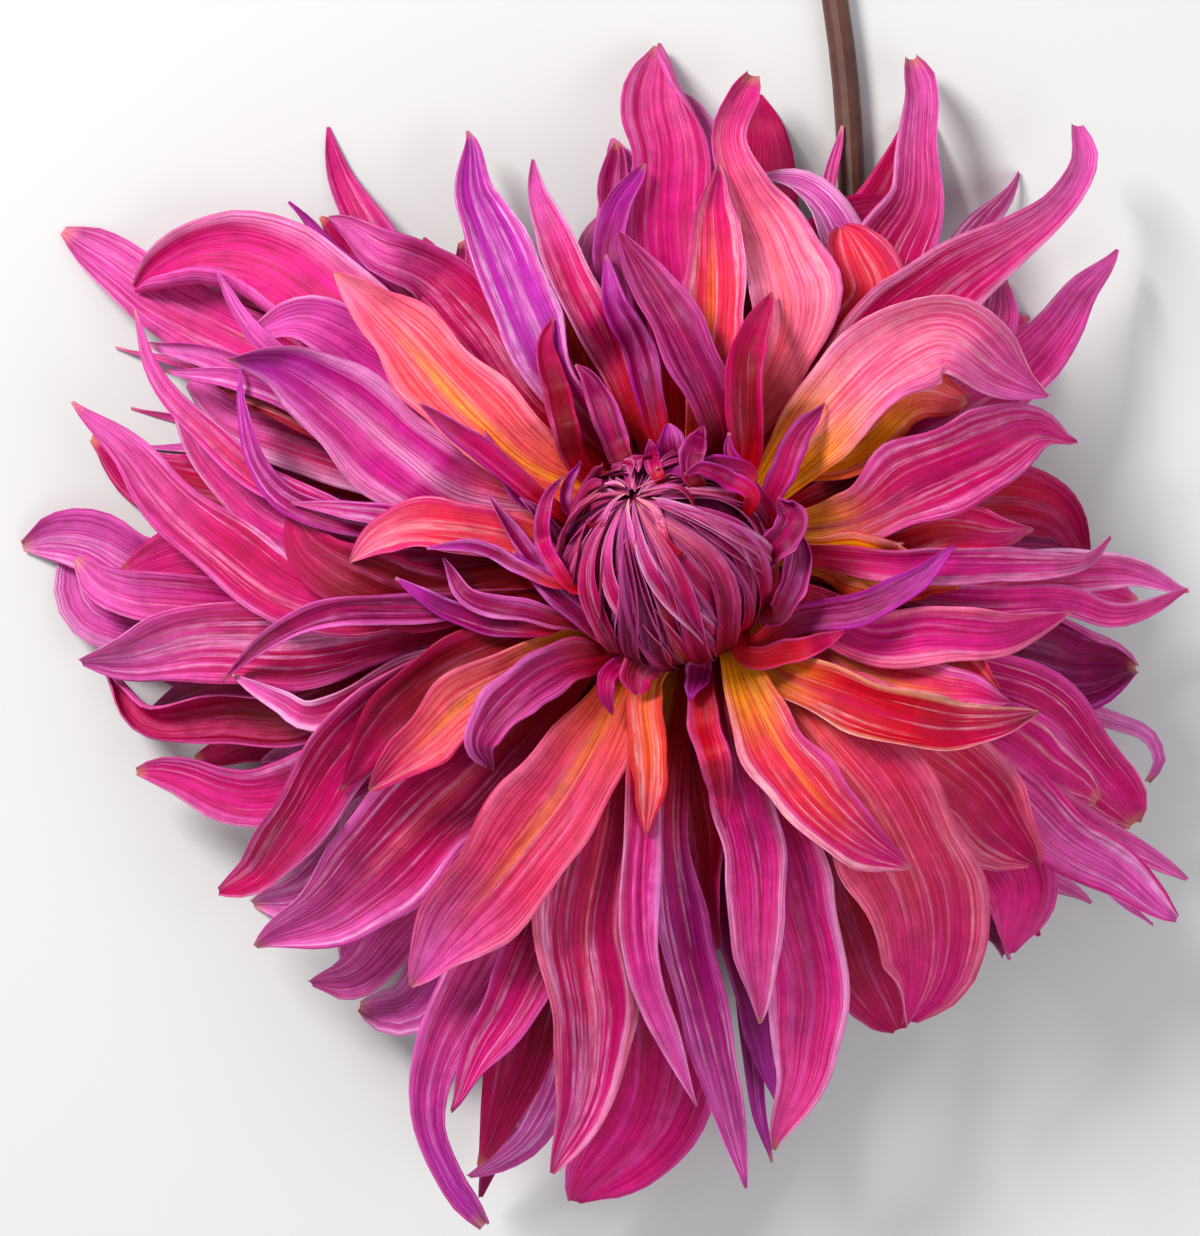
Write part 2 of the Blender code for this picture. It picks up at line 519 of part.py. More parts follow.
def make_receptacle():
    profile = ((0.30, RECEPTACLE_LOW), (0.62, RECEPTACLE_LOW + 0.9), (0.93, RECEPTACLE_LOW + 3.0),
               (1.0, RECEPTACLE_LOW + 7.0), (1.0, RECEPTACLE_HIGH - 4.0), (0.86, RECEPTACLE_HIGH - 1.0),
               (0.4, RECEPTACLE_HIGH))
    rings = []
    for share, z in profile:
        turn = np.arange(20) * 2 * math.pi / 20
        steps = np.stack([HEAD[0] + RECEPTACLE_STEPS * share * np.cos(turn),
                          HEAD[1] + RECEPTACLE_STEPS * share * np.sin(turn)], axis=1)
        rings.append(place(steps, np.full(20, z)))
    low = [rings[0].mean(axis=0)]
    high = [rings[-1].mean(axis=0)]
    return revolve("receptacle", [low] + rings + [high])


def make_bracts(space):
    """A collar of small green bracts turned back under the florets, as one lobed ring."""
    sides = BRACTS * 6
    turn = np.arange(sides) * 2 * math.pi / sides
    lobe = 0.5 + 0.5 * np.cos(turn * BRACTS)
    rows = []
    for k, share in enumerate((0.0, 0.45, 1.0)):
        reach = 79.0 + share * (26.0 + 46.0 * lobe)
        steps = np.stack([HEAD[0] + reach * np.cos(turn), HEAD[1] + reach * np.sin(turn)], axis=1)
        z = np.full(sides, 25.4 - 2.6 * share)
        rows.append(place(steps, z))
    wide = space.spread()
    verts, faces = [], []
    thick = 0.8
    lowest = 0.0
    for row in rows:
        at = space.cell(row[:, :2])
        lowest = max(lowest, (wide[at[:, 0], at[:, 1]] + GAP - (row[:, 2] - thick / 2)).max())
    for side in (-1, 1):
        for row in rows:
            verts += [tuple(p + np.array([0, 0, side * thick / 2 + max(lowest, 0)])) for p in row]
    ring_count = len(rows)
    for j in range(sides):
        k = (j + 1) % sides
        for i in range(ring_count - 1):
            a, b = i * sides, (i + 1) * sides
            up = ring_count * sides
            faces += [(a + j, b + k, b + j), (a + j, a + k, b + k)]
            faces += [(up + a + j, up + b + j, up + b + k), (up + a + j, up + b + k, up + a + k)]
        up = ring_count * sides
        last = (ring_count - 1) * sides
        faces += [(j, up + j, up + k), (j, up + k, k)]
        faces += [(last + j, last + k, up + last + k), (last + j, up + last + k, up + last + j)]
    mesh = bpy.data.meshes.new("involucral_bracts")
    mesh.from_pydata([tuple(c / 1000 for c in v) for v in verts], [], faces)
    mesh.update()
    face_out(mesh)
    points = np.array(verts)
    tri = np.array(faces)
    space.stamp(face_samples(points, tri)[0])
    return bpy.data.objects.new("involucral_bracts", mesh)


def make_bud(space):
    """The tight centre: a dome over the receptacle whose underside follows the florets below it."""
    sides, turn = 20, np.arange(20) * 2 * math.pi / 20
    shares = (1.0, 0.94, 0.8, 0.6, 0.35)
    wide = space.spread()
    reach = 4

    def floor_at(points):
        at = space.cell(points[:, :2])
        best = np.full(len(points), RECEPTACLE_HIGH)
        for i in range(-reach, reach + 1):
            for j in range(-reach, reach + 1):
                best = np.maximum(best, wide[(at[:, 0] + i).clip(0, Map.SIZE - 1), (at[:, 1] + j).clip(0, Map.SIZE - 1)])
        return best + GAP

    def ring(share, z, apex):
        centre = np.array(BUD) * share + np.array(apex) * (1 - share)
        steps = np.stack([centre[0] + BUD_STEPS * share * np.cos(turn), centre[1] + BUD_STEPS * share * np.sin(turn)], axis=1)
        return place(steps, z)

    under, over = [], []
    for share in (0.35, 0.62, 0.8, 0.94):
        low = ring(share, np.full(sides, 54.0), HEAD)
        low[:, 2] = floor_at(low)
        under.append(low)
    rim = ring(1.0, np.full(sides, BUD_RIM_Z), HEAD)
    rim[:, 2] = np.maximum(floor_at(rim) + 1.0, BUD_RIM_Z)
    for share in shares[1:]:
        z = BUD_RIM_Z + (BUD_APEX_Z - BUD_RIM_Z) * math.sqrt(1 - share**2)
        high = ring(share, np.full(sides, z), BUD_APEX)
        high[:, 2] = np.maximum(high[:, 2], floor_at(high) + 1.6)
        over.append(high)
    apex = place(np.array(BUD_APEX), np.float64(BUD_APEX_Z + 0.6))
    base = [np.array([*under[0].mean(axis=0)[:2], under[0][:, 2].max()])]
    return revolve("centre_bud", [base] + under + [rim] + over + [[apex]])


def bearing_of(strip):
    at = strip.steps[0]
    return math.atan2(at[1] - HEAD[1], at[0] - HEAD[0])


def make_group(node, rows, space, base_z):
    """One body: a band at the head with the group's florets grown from it."""
    strips = [floret_strip(midrib, z, width, name, 6, 2, BAND_STEPS) for midrib, z, width, name in rows]
    bearings = np.unwrap(sorted(bearing_of(s) for s in strips))
    # A group whose bearings pass the back of the circle is taken the short way round.
    if bearings[-1] - bearings[0] > math.pi:
        bearings = np.array(sorted((b % (2 * math.pi)) for b in bearings))
    band = drape(band_strip(bearings, base_z), space.spread())
    middle = place(band.steps, band.z)
    feet = []
    for strip in strips:
        drape(strip, space.spread())
        start = place(strip.steps[:1], strip.z[:1])[0]
        feet.append(int(np.argmin(np.linalg.norm(middle[:, :2] - start[:2], axis=1))))
        band.z[feet[-1]] = max(band.z[feet[-1]], strip.z[0])
        space.stamp(outline_samples(strip))
    for strip, foot in zip(strips, feet):
        strip.z[0] = band.z[foot]
        space.stamp(outline_samples(strip))
    space.stamp(outline_samples(band))
    whole = solid_from_strip(node, band)
    FLOWER.objects.link(whole)
    helpers = bpy.data.collections.new(node + "_members")
    for i, strip in enumerate(strips):
        helpers.objects.link(solid_from_strip(f"{node}_{i}", strip))
    bpy.context.scene.collection.children.link(helpers)
    for member in list(helpers.objects):
        join = whole.modifiers.new("join", "BOOLEAN")
        join.operation, join.solver, join.object = "UNION", "EXACT", member
    freeze(whole)
    for member in list(helpers.objects):
        bpy.data.objects.remove(member)
    bpy.data.collections.remove(helpers)
    FLOWER.objects.unlink(whole)
    return whole


def main():
    space = Map()
    stem, line, radii = make_stem()
    add(stem, (0.16, 0.03, 0.02))
    for i in range(len(line) - 1):
        for t in np.linspace(0, 1, 24):
            p, r = line[i] * (1 - t) + line[i + 1] * t, radii[i] + 0.1
            turn = np.arange(16) * math.pi / 8
            if p[2] < 12:
                space.stamp(np.stack([p[0] + r * np.cos(turn), p[1] + r * np.sin(turn), np.full(16, p[2] + r)], axis=1))
    add(make_receptacle(), (0.20, 0.24, 0.06))
    add(make_bracts(space), (0.12, 0.20, 0.05))

    groups = {}
    for node, bearing in BACK_FLORETS:
        turn = math.radians(bearing)
        midrib = [(HEAD[0] + r * math.cos(turn), HEAD[1] - r * math.sin(turn)) for r in BACK_STEPS]
        groups.setdefault(node, []).append((midrib, BACK_Z, BACK_WIDE, ""))
    for node, rows in groups.items():
        add(make_group(node, rows, space, BACK_Z[0]), COLOURS["P"])

    bearings = bearings_of(FLORETS)
    order, together = [], {}
    for node, midrib, width in filler_rows():
        together.setdefault(node, []).append((0.5, -1, (midrib, LAYER_Z[0], width, ""), "M"))
    for index, (name, node, layer, width, colour, text) in enumerate(FLORETS):
        if node.startswith("ray_floret"):
            order.append((layer, index, node, [(from_ring(text, RING_STEPS, layer, bearings[name]), LAYER_Z[layer], width, name)], colour))
        else:
            together.setdefault(node, []).append((layer, index, (from_ring(text, BAND_STEPS, layer, bearings[name]), LAYER_Z[layer], width, name), colour))
    for node, rows in together.items():
        layer = sum(row[0] for row in rows) / len(rows)
        order.append((layer, rows[0][1], node, [row[2] for row in rows], rows[0][3]))
    # Within a layer every other one is laid first, so that the overlaps don't climb round the head.
    layers = sorted({row[0] for row in order})
    laid = []
    for level in layers:
        ring = sorted((row for row in order if row[0] == level), key=lambda row: row[1])
        laid += ring[::2] + ring[1::2]
    for layer, _, node, rows, colour in laid:
        if len(rows) == 1:
            strip = drape(floret_strip(*rows[0], 9, 4, RING_STEPS), space.spread())
            space.stamp(outline_samples(strip))
            add(solid_from_strip(node, strip), COLOURS[colour])
        else:
            add(make_group(node, rows, space, LAYER_Z[int(layer)][0]), COLOURS[colour])
    add(make_bud(space), (0.30, 0.01, 0.10))

    # The origin goes to the middle of the underside of the whole.
    graph = bpy.context.evaluated_depsgraph_get()
    low, high = np.full(3, 1e9), np.full(3, -1e9)
    for obj in FLOWER.objects:
        evaluated = obj.evaluated_get(graph)
        mesh = evaluated.to_mesh()
        points = np.array([v.co for v in mesh.vertices])
        evaluated.to_mesh_clear()
        low, high = np.minimum(low, points.min(axis=0)), np.maximum(high, points.max(axis=0))
    shift = np.array([(low[0] + high[0]) / 2, (low[1] + high[1]) / 2, low[2]])
    print("size, mm", np.round((high - low) * 1000, 2), "origin", np.round(shift * 1000, 3))
    for obj in FLOWER.objects:
        if obj.type == "CURVE":
            for point in obj.data.splines[0].points:
                point.co = (point.co[0] - shift[0], point.co[1] - shift[1], point.co[2] - shift[2], 1)
        else:
            for vertex in obj.data.vertices:
                vertex.co = (vertex.co[0] - shift[0], vertex.co[1] - shift[1], vertex.co[2] - shift[2])


for old in list(bpy.data.objects):
    bpy.data.objects.remove(old)
FLOWER = bpy.data.collections.new("dahlia_flower")
bpy.context.scene.collection.children.link(FLOWER)
main()
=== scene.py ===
import math
import random

import bpy
import numpy as np
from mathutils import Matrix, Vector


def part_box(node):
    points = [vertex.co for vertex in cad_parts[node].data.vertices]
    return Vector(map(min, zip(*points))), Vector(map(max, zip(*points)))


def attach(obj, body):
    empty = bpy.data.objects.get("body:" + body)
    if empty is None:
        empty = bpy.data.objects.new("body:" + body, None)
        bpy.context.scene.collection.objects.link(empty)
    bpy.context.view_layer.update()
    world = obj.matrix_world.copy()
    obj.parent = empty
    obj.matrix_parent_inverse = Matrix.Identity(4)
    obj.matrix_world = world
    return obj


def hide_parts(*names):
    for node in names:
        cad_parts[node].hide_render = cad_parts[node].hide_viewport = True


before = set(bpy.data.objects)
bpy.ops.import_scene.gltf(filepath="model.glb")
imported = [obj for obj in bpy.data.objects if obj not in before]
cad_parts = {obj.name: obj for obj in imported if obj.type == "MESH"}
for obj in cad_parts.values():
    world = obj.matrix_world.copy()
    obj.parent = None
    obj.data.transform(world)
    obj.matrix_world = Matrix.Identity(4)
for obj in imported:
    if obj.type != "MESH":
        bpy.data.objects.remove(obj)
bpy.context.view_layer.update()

# ---- the sheet that the florets are placed on, as in the CAD model (mm) ----
SHEET_MM = 0.186
SHEET_MID = (600.0, 618.0)
EYE_HEIGHT = 750.0
Z_REF = 55.0
HEAD = (670.0, 565.0)
RING_STEPS = 77.5
EVEN = 0.85
HEAD_TILT = 0.13
BUD = (668.0, 563.0)
BUD_STEPS = 97.0
BUD_MID_Z, BUD_HIGH = 58.0, 19.0
BUD_LEAN, BUD_AIM = 48.0, (-0.45, -0.89)   # the apex leans this many degrees, this way on the sheet

THICK = 0.42
GAP = 0.16
CELL = 0.6
CLAW_WIDE = 3.6
ROWS, ACROSS = 40, 14

LAYER_Z = (
    (28.0, 21.0, -1.0), (29.0, 23.0, -1.0), (30.0, 26.0, 5.0), (32.0, 30.0, 10.0),
    (34.0, 34.0, 17.0), (37.0, 38.0, 23.0), (40.0, 43.0, 31.0), (43.0, 47.0, 39.0),
    (46.0, 52.0, 46.0), (48.0, 56.0, 54.0), (49.0, 59.0, 59.0), (50.0, 61.0, 62.0),
)
WIDTH_AT = (0.0, 0.12, 0.3, 0.48, 0.6, 0.72, 0.83, 0.91, 0.96, 1.0)
WIDTH_SHARE = (0.26, 0.50, 0.90, 1.06, 1.06, 0.98, 0.76, 0.48, 0.26, 0.05)
# A blade that narrows early to a long tail.
TAIL_SHARE = (0.26, 0.50, 0.96, 1.10, 0.88, 0.60, 0.42, 0.37, 0.34, 0.15)
# A blade that stays broad to a rounded end.
BLUNT_SHARE = (0.26, 0.50, 0.90, 1.04, 1.06, 1.06, 0.98, 0.80, 0.56, 0.14)
SOFT_SHARE = (0.26, 0.50, 0.90, 1.06, 1.06, 1.02, 0.86, 0.66, 0.44, 0.12)
# Lower florets are broader than what shows of them.
WIDER = (1.2, 1.2, 1.18, 1.14, 1.12, 1.08, 1.06, 1.04)
# How steeply the margins turn up, in degrees, along a floret.
EDGE_AT = (0.0, 0.25, 0.5, 0.75, 0.92, 1.0)
EDGE_TURN = (40.0, 40.0, 42.0, 44.0, 60.0, 85.0)

# Petal colours, as seen (sRGB). C is the florets' own crimson darkened with painted shade, for florets that lie in
# shadow; Z, darker still, is painted shade in the grooves along the bud's florets.
PALETTE = {
    "D": (202, 0, 108), "M": (224, 34, 146), "L": (230, 112, 194), "W": (246, 196, 230),
    "P": (154, 0, 96), "C": (140, 0, 38), "R": (212, 0, 48), "S": (238, 66, 98),
    "A": (246, 116, 116), "Y": (252, 186, 6), "K": (236, 190, 140), "B": (112, 0, 44),
    "O": (220, 84, 156), "G": (196, 150, 30), "V": (188, 48, 176), "H": (210, 30, 156),
    "X": (178, 0, 34), "Z": (100, 0, 24), "J": (226, 72, 118), "E": (242, 108, 62), "N": (248, 146, 172),
}
# base, middle, tip / margins / midrib streak / the other side
LOOKS = {
    "M": ("RDM/L/D/V", "RDL/L/E/V", "RDL/W/D/V", "RMO/L/A/L", "XDL/W/D/V"),
    # C looks: the florets' crimson darkened with painted shade, for florets that lie in shadow.
    "P": ("RPV/V/P/V", "CPP/L/D/V", "RDP/V/P/V"), "C": ("RCD/D/C/P", "XRD/O/C/P"),
    "S": ("ESM/M/E/L", "ESM/L/Y/L"), "Y": ("YAM/M/Y/L", "YES/L/Y/L"),
    "L": ("RHO/L/H/L", "DMO/W/H/L", "RHL/L/D/L"), "F": ("XCD/D/C/P", "RXD/D/E/P"),
}

# name, node, layer, greatest width in steps, look, midrib from the base to the tip
FLORETS = (
    # upper side of the bloom
    ("M4", "ray_floret_01", 1, 42, "M", "600,500 500,400 420,310 372,235 345,180 334,126"),
    ("M3", "outer_florets_north", 2, 24, "P", "590,500 480,390 400,310 345,262 312,230 284,208"),
    ("M2", "ray_floret_02", 3, 58, "M", "600,500 540,410 480,325 430,275 375,255 323,241"),
    ("M5", "outer_florets_north", 2, 52, "S", "610,490 560,400 515,330 482,288 452,263"),
    ("M1", "ray_floret_03", 6, 74, "Y", "600,520 545,470 480,415 420,350 370,300 335,272"),
    ("U1", "ray_floret_04", 4, 58, "L", "625,480 570,400 528,320 500,250 478,200 447,142"),
    ("U2", "ray_floret_05", 5, 40, "M", "650,470 615,370 580,300 556,240 540,200 540,160"),
    ("U3", "outer_florets_north", 1, 38, "P", "660,450 640,330 625,240 615,190 606,145"),
    ("U3b", "mid_florets_north", 4, 30, "P", "660,460 625,330 607,260 618,205 631,160"),
    ("U4b", "outer_florets_north", 1, 50, "L", "700,450 700,300 695,180 690,120 666,73"),
    ("U4", "ray_floret_06", 3, 72, "M", "690,450 675,330 665,220 668,150 655,95 647,48"),
    ("U5a", "mid_florets_north", 5, 56, "S", "715,440 712,330 713,240 707,165"),
    ("U5", "ray_floret_07", 4, 80, "Y", "765,470 790,340 778,250 748,190 730,135 752,76"),
    ("U7", "ray_floret_08", 2, 60, "L", "800,440 850,300 835,225 800,185 748,165"),
    ("U8", "outer_florets_north", 0, 16, "L", "790,450 820,300 830,180 836,125"),
    ("U9", "mid_florets_north", 3, 78, "S", "785,460 820,360 868,290 830,238"),
    ("M8", "inner_florets_north", 8, 50, "P", "722,445 705,385 675,325 645,275 619,232"),
    ("M9", "inner_florets_north", 7, 30, "P", "672,440 640,355 615,300 606,255"),
    ("S24", "inner_florets_north", 8, 36, "C", "745,460 745,400 748,345 772,293"),
    ("S25", "inner_florets_north", 8, 27, "C", "575,460 560,400 545,350 553,318"),
    ("S26", "inner_florets_north", 8, 29, "P", "620,455 605,410 590,380 576,365"),
    # right side
    ("R1", "ray_floret_09", 3, 84, "M", "790,470 850,340 890,250 915,200 917,140 918,95 910,60"),
    ("R2", "outer_florets_east", 1, 34, "L", "800,470 900,330 965,245 1000,195 1012,170"),
    ("R3", "ray_floret_10", 4, 78, "M", "790,470 870,350 950,280 1010,242 1055,208 1080,165 1075,126"),
    ("R4", "outer_florets_east", 1, 60, "L", "800,480 900,400 990,330 1016,285"),
    ("R5", "ray_floret_11", 2, 52, "M", "800,490 900,440 1000,385 1060,325 1085,280 1102,243"),
    ("R6", "ray_floret_12", 6, 80, "Y", "770,490 835,410 900,350 950,335 1000,372 1048,396"),
    ("R7a", "", 5, 30, "C", "775,510 850,480 915,452 975,432"),
    ("R7", "ray_floret_13", 5, 80, "M", "780,560 850,520 920,480 990,450 1040,425 1075,420"),
    ("S23", "inner_florets_east", 9, 26, "P", "775,490 795,440 815,415 825,403"),
    ("R8", "ray_floret_14", 2, 66, "C", "800,540 900,520 990,500 1050,508 1100,548"),
    ("R9", "mid_florets_east", 5, 54, "S", "780,575 870,548 950,528 1030,543"),
    ("R10", "", 6, 32, "L", "790,575 880,565 960,565 1040,565 1085,560 1110,537"),
    ("R11", "ray_floret_15", 3, 42, "M", "790,590 920,580 1040,572 1120,572 1190,580"),
    ("R12", "mid_florets_east", 5, 28, "L", "800,600 950,600 1060,600 1110,613 1155,609 1190,600"),
    ("S21", "inner_florets_east", 9, 31, "P", "750,645 800,618 860,608 910,585 955,546"),
    ("S22", "inner_florets_east", 9, 23, "C", "745,655 790,652 825,640 845,631"),
    ("R15", "ray_floret_16", 6, 52, "M", "770,640 860,635 930,632 1000,635 1070,612"),
    ("R13", "ray_floret_17", 3, 90, "P", "780,640 900,650 1000,650 1070,670 1128,690"),
    ("R14", "outer_florets_east", 2, 36, "L", "800,660 950,680 1060,705 1112,722 1146,735 1158,760 1147,781"),
    ("R18", "mid_florets_east", 5, 58, "S", "775,650 860,668 940,690 1010,690"),
    ("R17", "ray_floret_18", 7, 50, "Y", "765,660 850,698 930,722 990,722 1038,712"),
    ("R19b", "mid_florets_east", 3, 80, "S", "780,660 920,680 1030,715 1080,765 1118,832"),
    ("R19a", "mid_florets_east", 4, 72, "S", "780,670 900,700 1000,740 1045,775 1078,815"),
    ("R20", "ray_floret_19", 5, 60, "L", "780,680 900,730 1010,790 1070,845 1130,875 1185,898"),
    ("R21", "", 4, 32, "M", "800,690 960,750 1080,820 1135,848 1185,882"),
    ("R22", "outer_florets_east", 1, 28, "L", "800,700 960,790 1080,860 1125,900 1155,922"),
    ("R23", "outer_florets_east", 1, 40, "M", "790,700 920,780 1010,850 1055,890 1080,914"),
    ("R26", "ray_floret_20", 5, 88, "S", "775,680 860,715 930,760 985,805 1025,868"),
    ("R24", "outer_florets_south", 2, 76, "C", "780,690 880,750 960,820 1015,880 1018,955"),
    ("R25", "outer_florets_east", 1, 52, "P", "770,700 860,790 930,870 980,930 990,958"),
    ("R27", "ray_floret_21", 6, 112, "S", "755,665 820,735 880,810 920,895 925,965 908,1022"),
    ("R28", "mid_florets_south", 3, 84, "C", "750,680 800,790 840,890 870,970 887,1032"),
    ("R29", "ray_floret_22", 7, 62, "Y", "715,665 762,725 800,785 850,835 908,868"),
    # lower side
    ("B1", "ray_floret_23", 7, 58, "P", "720,690 735,780 755,870 757,950 760,1023"),
    ("B2", "ray_floret_24", 5, 76, "P", "730,690 765,800 790,900 810,985 805,1050 790,1152"),
    ("B2b", "mid_florets_south", 3, 60, "P", "715,700 735,850 755,970 770,1050 787,1100"),
    ("B3", "ray_floret_25", 5, 46, "L", "680,690 672,820 685,940 712,1040 728,1110 739,1189"),
    ("B4", "outer_florets_south", 1, 20, "P", "710,700 735,900 752,1060 757,1120 767,1163"),
    ("B5", "ray_floret_26", 7, 36, "P", "645,700 645,800 638,900 648,980 675,1050 697,1106"),
    ("S19", "inner_florets_south", 9, 31, "C", "700,660 705,720 718,780 725,828"),
    ("B6", "ray_floret_27", 6, 84, "M", "620,700 600,820 580,930 590,1020 585,1100 552,1173"),
    ("B7", "ray_floret_28", 2, 100, "P", "650,700 655,900 655,1040 640,1120 585,1208"),
    ("B8", "ray_floret_29", 4, 70, "L", "600,700 555,850 490,960 440,1050 428,1120 450,1180 484,1225"),
    ("B9", "", 5, 60, "M", "605,700 570,850 535,950 495,1030 436,1097"),
    ("B10", "mid_florets_south", 3, 74, "C", "610,700 575,870 540,980 515,1080 461,1152"),
    ("B11", "outer_florets_south", 2, 44, "L", "620,700 590,900 565,1050 530,1130 463,1160"),
    ("B12", "outer_florets_south", 1, 34, "P", "610,700 560,900 510,1080 488,1198"),
    ("B13", "outer_florets_south", 2, 60, "L", "590,690 520,850 455,945 410,1000 364,993"),
    ("B14", "mid_florets_south", 3, 54, "M", "585,680 490,830 400,925 355,980 316,997"),
    ("B15", "outer_florets_south", 2, 42, "L", "585,680 470,830 370,900 335,975"),
    ("B17", "ray_floret_30", 5, 100, "M", "590,670 500,745 420,820 350,890 305,925 266,958"),
    ("B18", "ray_floret_31", 7, 92, "M", "620,690 570,780 510,860 455,925 411,986"),
    ("B19", "", 4, 30, "C", "620,700 600,800 590,900 585,960"),
    ("S20", "inner_florets_south", 9, 48, "P", "605,655 560,665 515,695 480,740 493,770"),
    ("C1", "ray_floret_32", 6, 55, "Y", "600,650 530,668 470,700 420,745 370,790"),
    # left side
    ("B20", "ray_floret_33", 5, 62, "M", "590,640 480,660 400,700 340,755 295,825 258,868 217,879"),
    ("B21", "outer_florets_west", 1, 54, "L", "580,650 440,760 350,850 300,895 256,912"),
    ("C2", "", 6, 50, "C", "590,630 500,645 430,680 375,735 340,790"),
    ("L1", "ray_floret_34", 4, 58, "M", "580,630 430,700 330,775 260,798 190,786 142,794"),
    ("L2", "mid_florets_west", 3, 52, "M", "580,630 420,690 320,745 265,768"),
    ("L3", "ray_floret_35", 3, 50, "C", "580,620 400,670 300,715 230,715 150,722 92,682"),
    ("L4", "", 2, 44, "C", "580,620 400,680 290,735 240,745 195,748"),
    ("L5", "ray_floret_36", 4, 76, "M", "580,610 400,625 290,640 200,642 130,660 82,668"),
    ("L5b", "", 3, 54, "P", "580,610 400,650 280,680 200,690 145,700"),
    ("L29", "", 5, 34, "M", "570,620 420,670 320,715 280,700 237,668"),
    ("L26", "", 7, 28, "P", "560,620 440,608 340,612 275,638 223,681"),
    ("L9", "mid_florets_west", 3, 90, "C", "570,600 400,600 290,590 200,565 120,560"),
    ("L6", "ray_floret_37", 2, 64, "L", "570,595 400,590 250,580 150,570 90,540 50,528 20,531"),
    ("L7", "", 3, 48, "M", "570,600 350,610 180,600 100,592 67,571"),
    ("L8", "outer_florets_west", 2, 50, "L", "570,605 350,625 180,630 110,620 75,590 60,530"),
    ("L10", "ray_floret_38", 5, 60, "M", "560,590 400,605 300,600 220,545 160,490 115,430 85,392"),
    ("L11", "mid_florets_west", 4, 46, "L", "550,580 400,560 290,525 230,480 160,407"),
    ("L12", "", 5, 28, "M", "550,570 400,530 280,490 200,425 152,370 131,311"),
    ("L23", "", 5, 62, "C", "560,590 440,600 360,580 300,540 273,506"),
    ("L24", "", 6, 22, "L", "550,565 460,530 380,513 292,503"),
    ("L25", "", 7, 48, "Y", "560,560 490,532 420,525 380,535 350,561"),
    ("L20", "ray_floret_39", 6, 86, "P", "560,540 470,500 400,455 340,405 285,368 229,359"),
    ("L21", "", 6, 26, "P", "540,560 400,530 300,505 258,465 243,410 240,366"),
    ("L17", "ray_floret_40", 3, 86, "C", "580,510 450,420 350,330 270,270 205,260 144,300"),
    ("L19", "mid_florets_west", 4, 64, "L", "570,520 470,430 390,370 310,325 244,313"),
    ("L18", "", 5, 22, "L", "560,530 400,430 290,362 248,325 222,272"),
    ("L15", "outer_florets_west", 2, 60, "M", "570,530 400,430 250,345 160,300 105,255 67,226"),
    ("L16", "outer_florets_west", 1, 28, "C", "570,520 400,420 260,350 190,300 160,252"),
    ("L22a", "", 3, 30, "L", "570,540 400,440 260,380 200,352 150,334"),
    ("L22b", "", 4, 28, "L", "560,550 400,450 270,390 165,362"),
    ("L22c", "", 3, 34, "Y", "560,550 420,470 300,410 185,378"),
    ("L13a", "outer_florets_west", 1, 20, "L", "560,560 350,450 220,380 118,341"),
    ("L13b", "", 1, 16, "L", "560,570 380,490 250,440 133,402"),
    ("L13c", "outer_florets_west", 0, 18, "L", "560,575 380,510 250,460 139,437"),
    ("L14", "outer_florets_west", 2, 40, "C", "560,580 400,540 280,510 178,462"),
    # small inner florets round the bud
    ("S1", "inner_florets_west", 9, 22, "P", "575,525 530,490 475,445 419,403"),
    ("S2", "", 9, 15, "P", "560,520 520,495 500,460 485,431"),
    ("S3a", "inner_florets_west", 10, 17, "P", "590,620 545,575 512,530 486,493"),
    ("S3b", "", 10, 22, "P", "615,645 575,610 540,580 513,552"),
    ("S4", "", 10, 14, "P", "560,585 520,567 475,546 427,548"),
    ("S5", "inner_florets_west", 9, 22, "P", "590,625 530,612 470,598 443,558"),
    ("S6", "inner_florets_west", 9, 22, "P", "610,640 530,628 450,610 396,578"),
    ("S7", "", 10, 15, "P", "570,552 540,515 520,498"),
    ("S8", "", 11, 16, "P", "575,590 545,545 545,505 562,477"),
    ("S9", "", 10, 12, "P", "570,510 568,485 581,461"),
    ("S13", "", 10, 17, "P", "750,475 720,465 690,470 660,473"),
    ("S14", "", 9, 19, "P", "768,520 750,490 730,455 729,433"),
    ("S15", "inner_florets_east", 10, 26, "P", "775,615 797,570 795,540 765,530"),
    ("S16", "", 10, 18, "P", "640,655 612,670 606,695 613,715"),
    ("S18", "inner_florets_south", 9, 24, "P", "705,640 700,665 690,700"),
    ("S10", "", 10, 18, "P", "628,478 619,463"),
    ("S11", "", 10, 16, "P", "654,468 650,440"),
    ("S12a", "", 10, 28, "P", "676,468 669,424"),
    ("S12b", "", 10, 24, "P", "690,466 703,426"),
    ("S13b", "", 11, 18, "P", "752,496 728,478 702,468 684,474"),
    ("S15b", "", 10, 30, "P", "776,545 794,520 778,497"),
    ("S17", "", 10, 36, "C", "640,668 637,695"),
    ("B5b", "", 8, 36, "Y", "645,690 650,760 646,834"),
    ("B5c", "", 4, 46, "C", "668,690 690,770 700,850 705,950"),
    ("B5d", "", 4, 50, "Y", "655,700 655,800 650,880 655,970"),
    ("B5e", "", 5, 40, "M", "615,690 610,760 606,830 612,915"),
    ("C3", "", 5, 60, "Y", "735,455 725,390 700,340 690,300"),
    ("C4", "", 5, 56, "Y", "795,545 850,560 900,575 960,572"),
    ("C5", "", 5, 60, "Y", "790,470 850,440 900,400 960,380"),
    ("C6", "", 4, 60, "Y", "770,650 850,655 930,662 1000,668"),
)

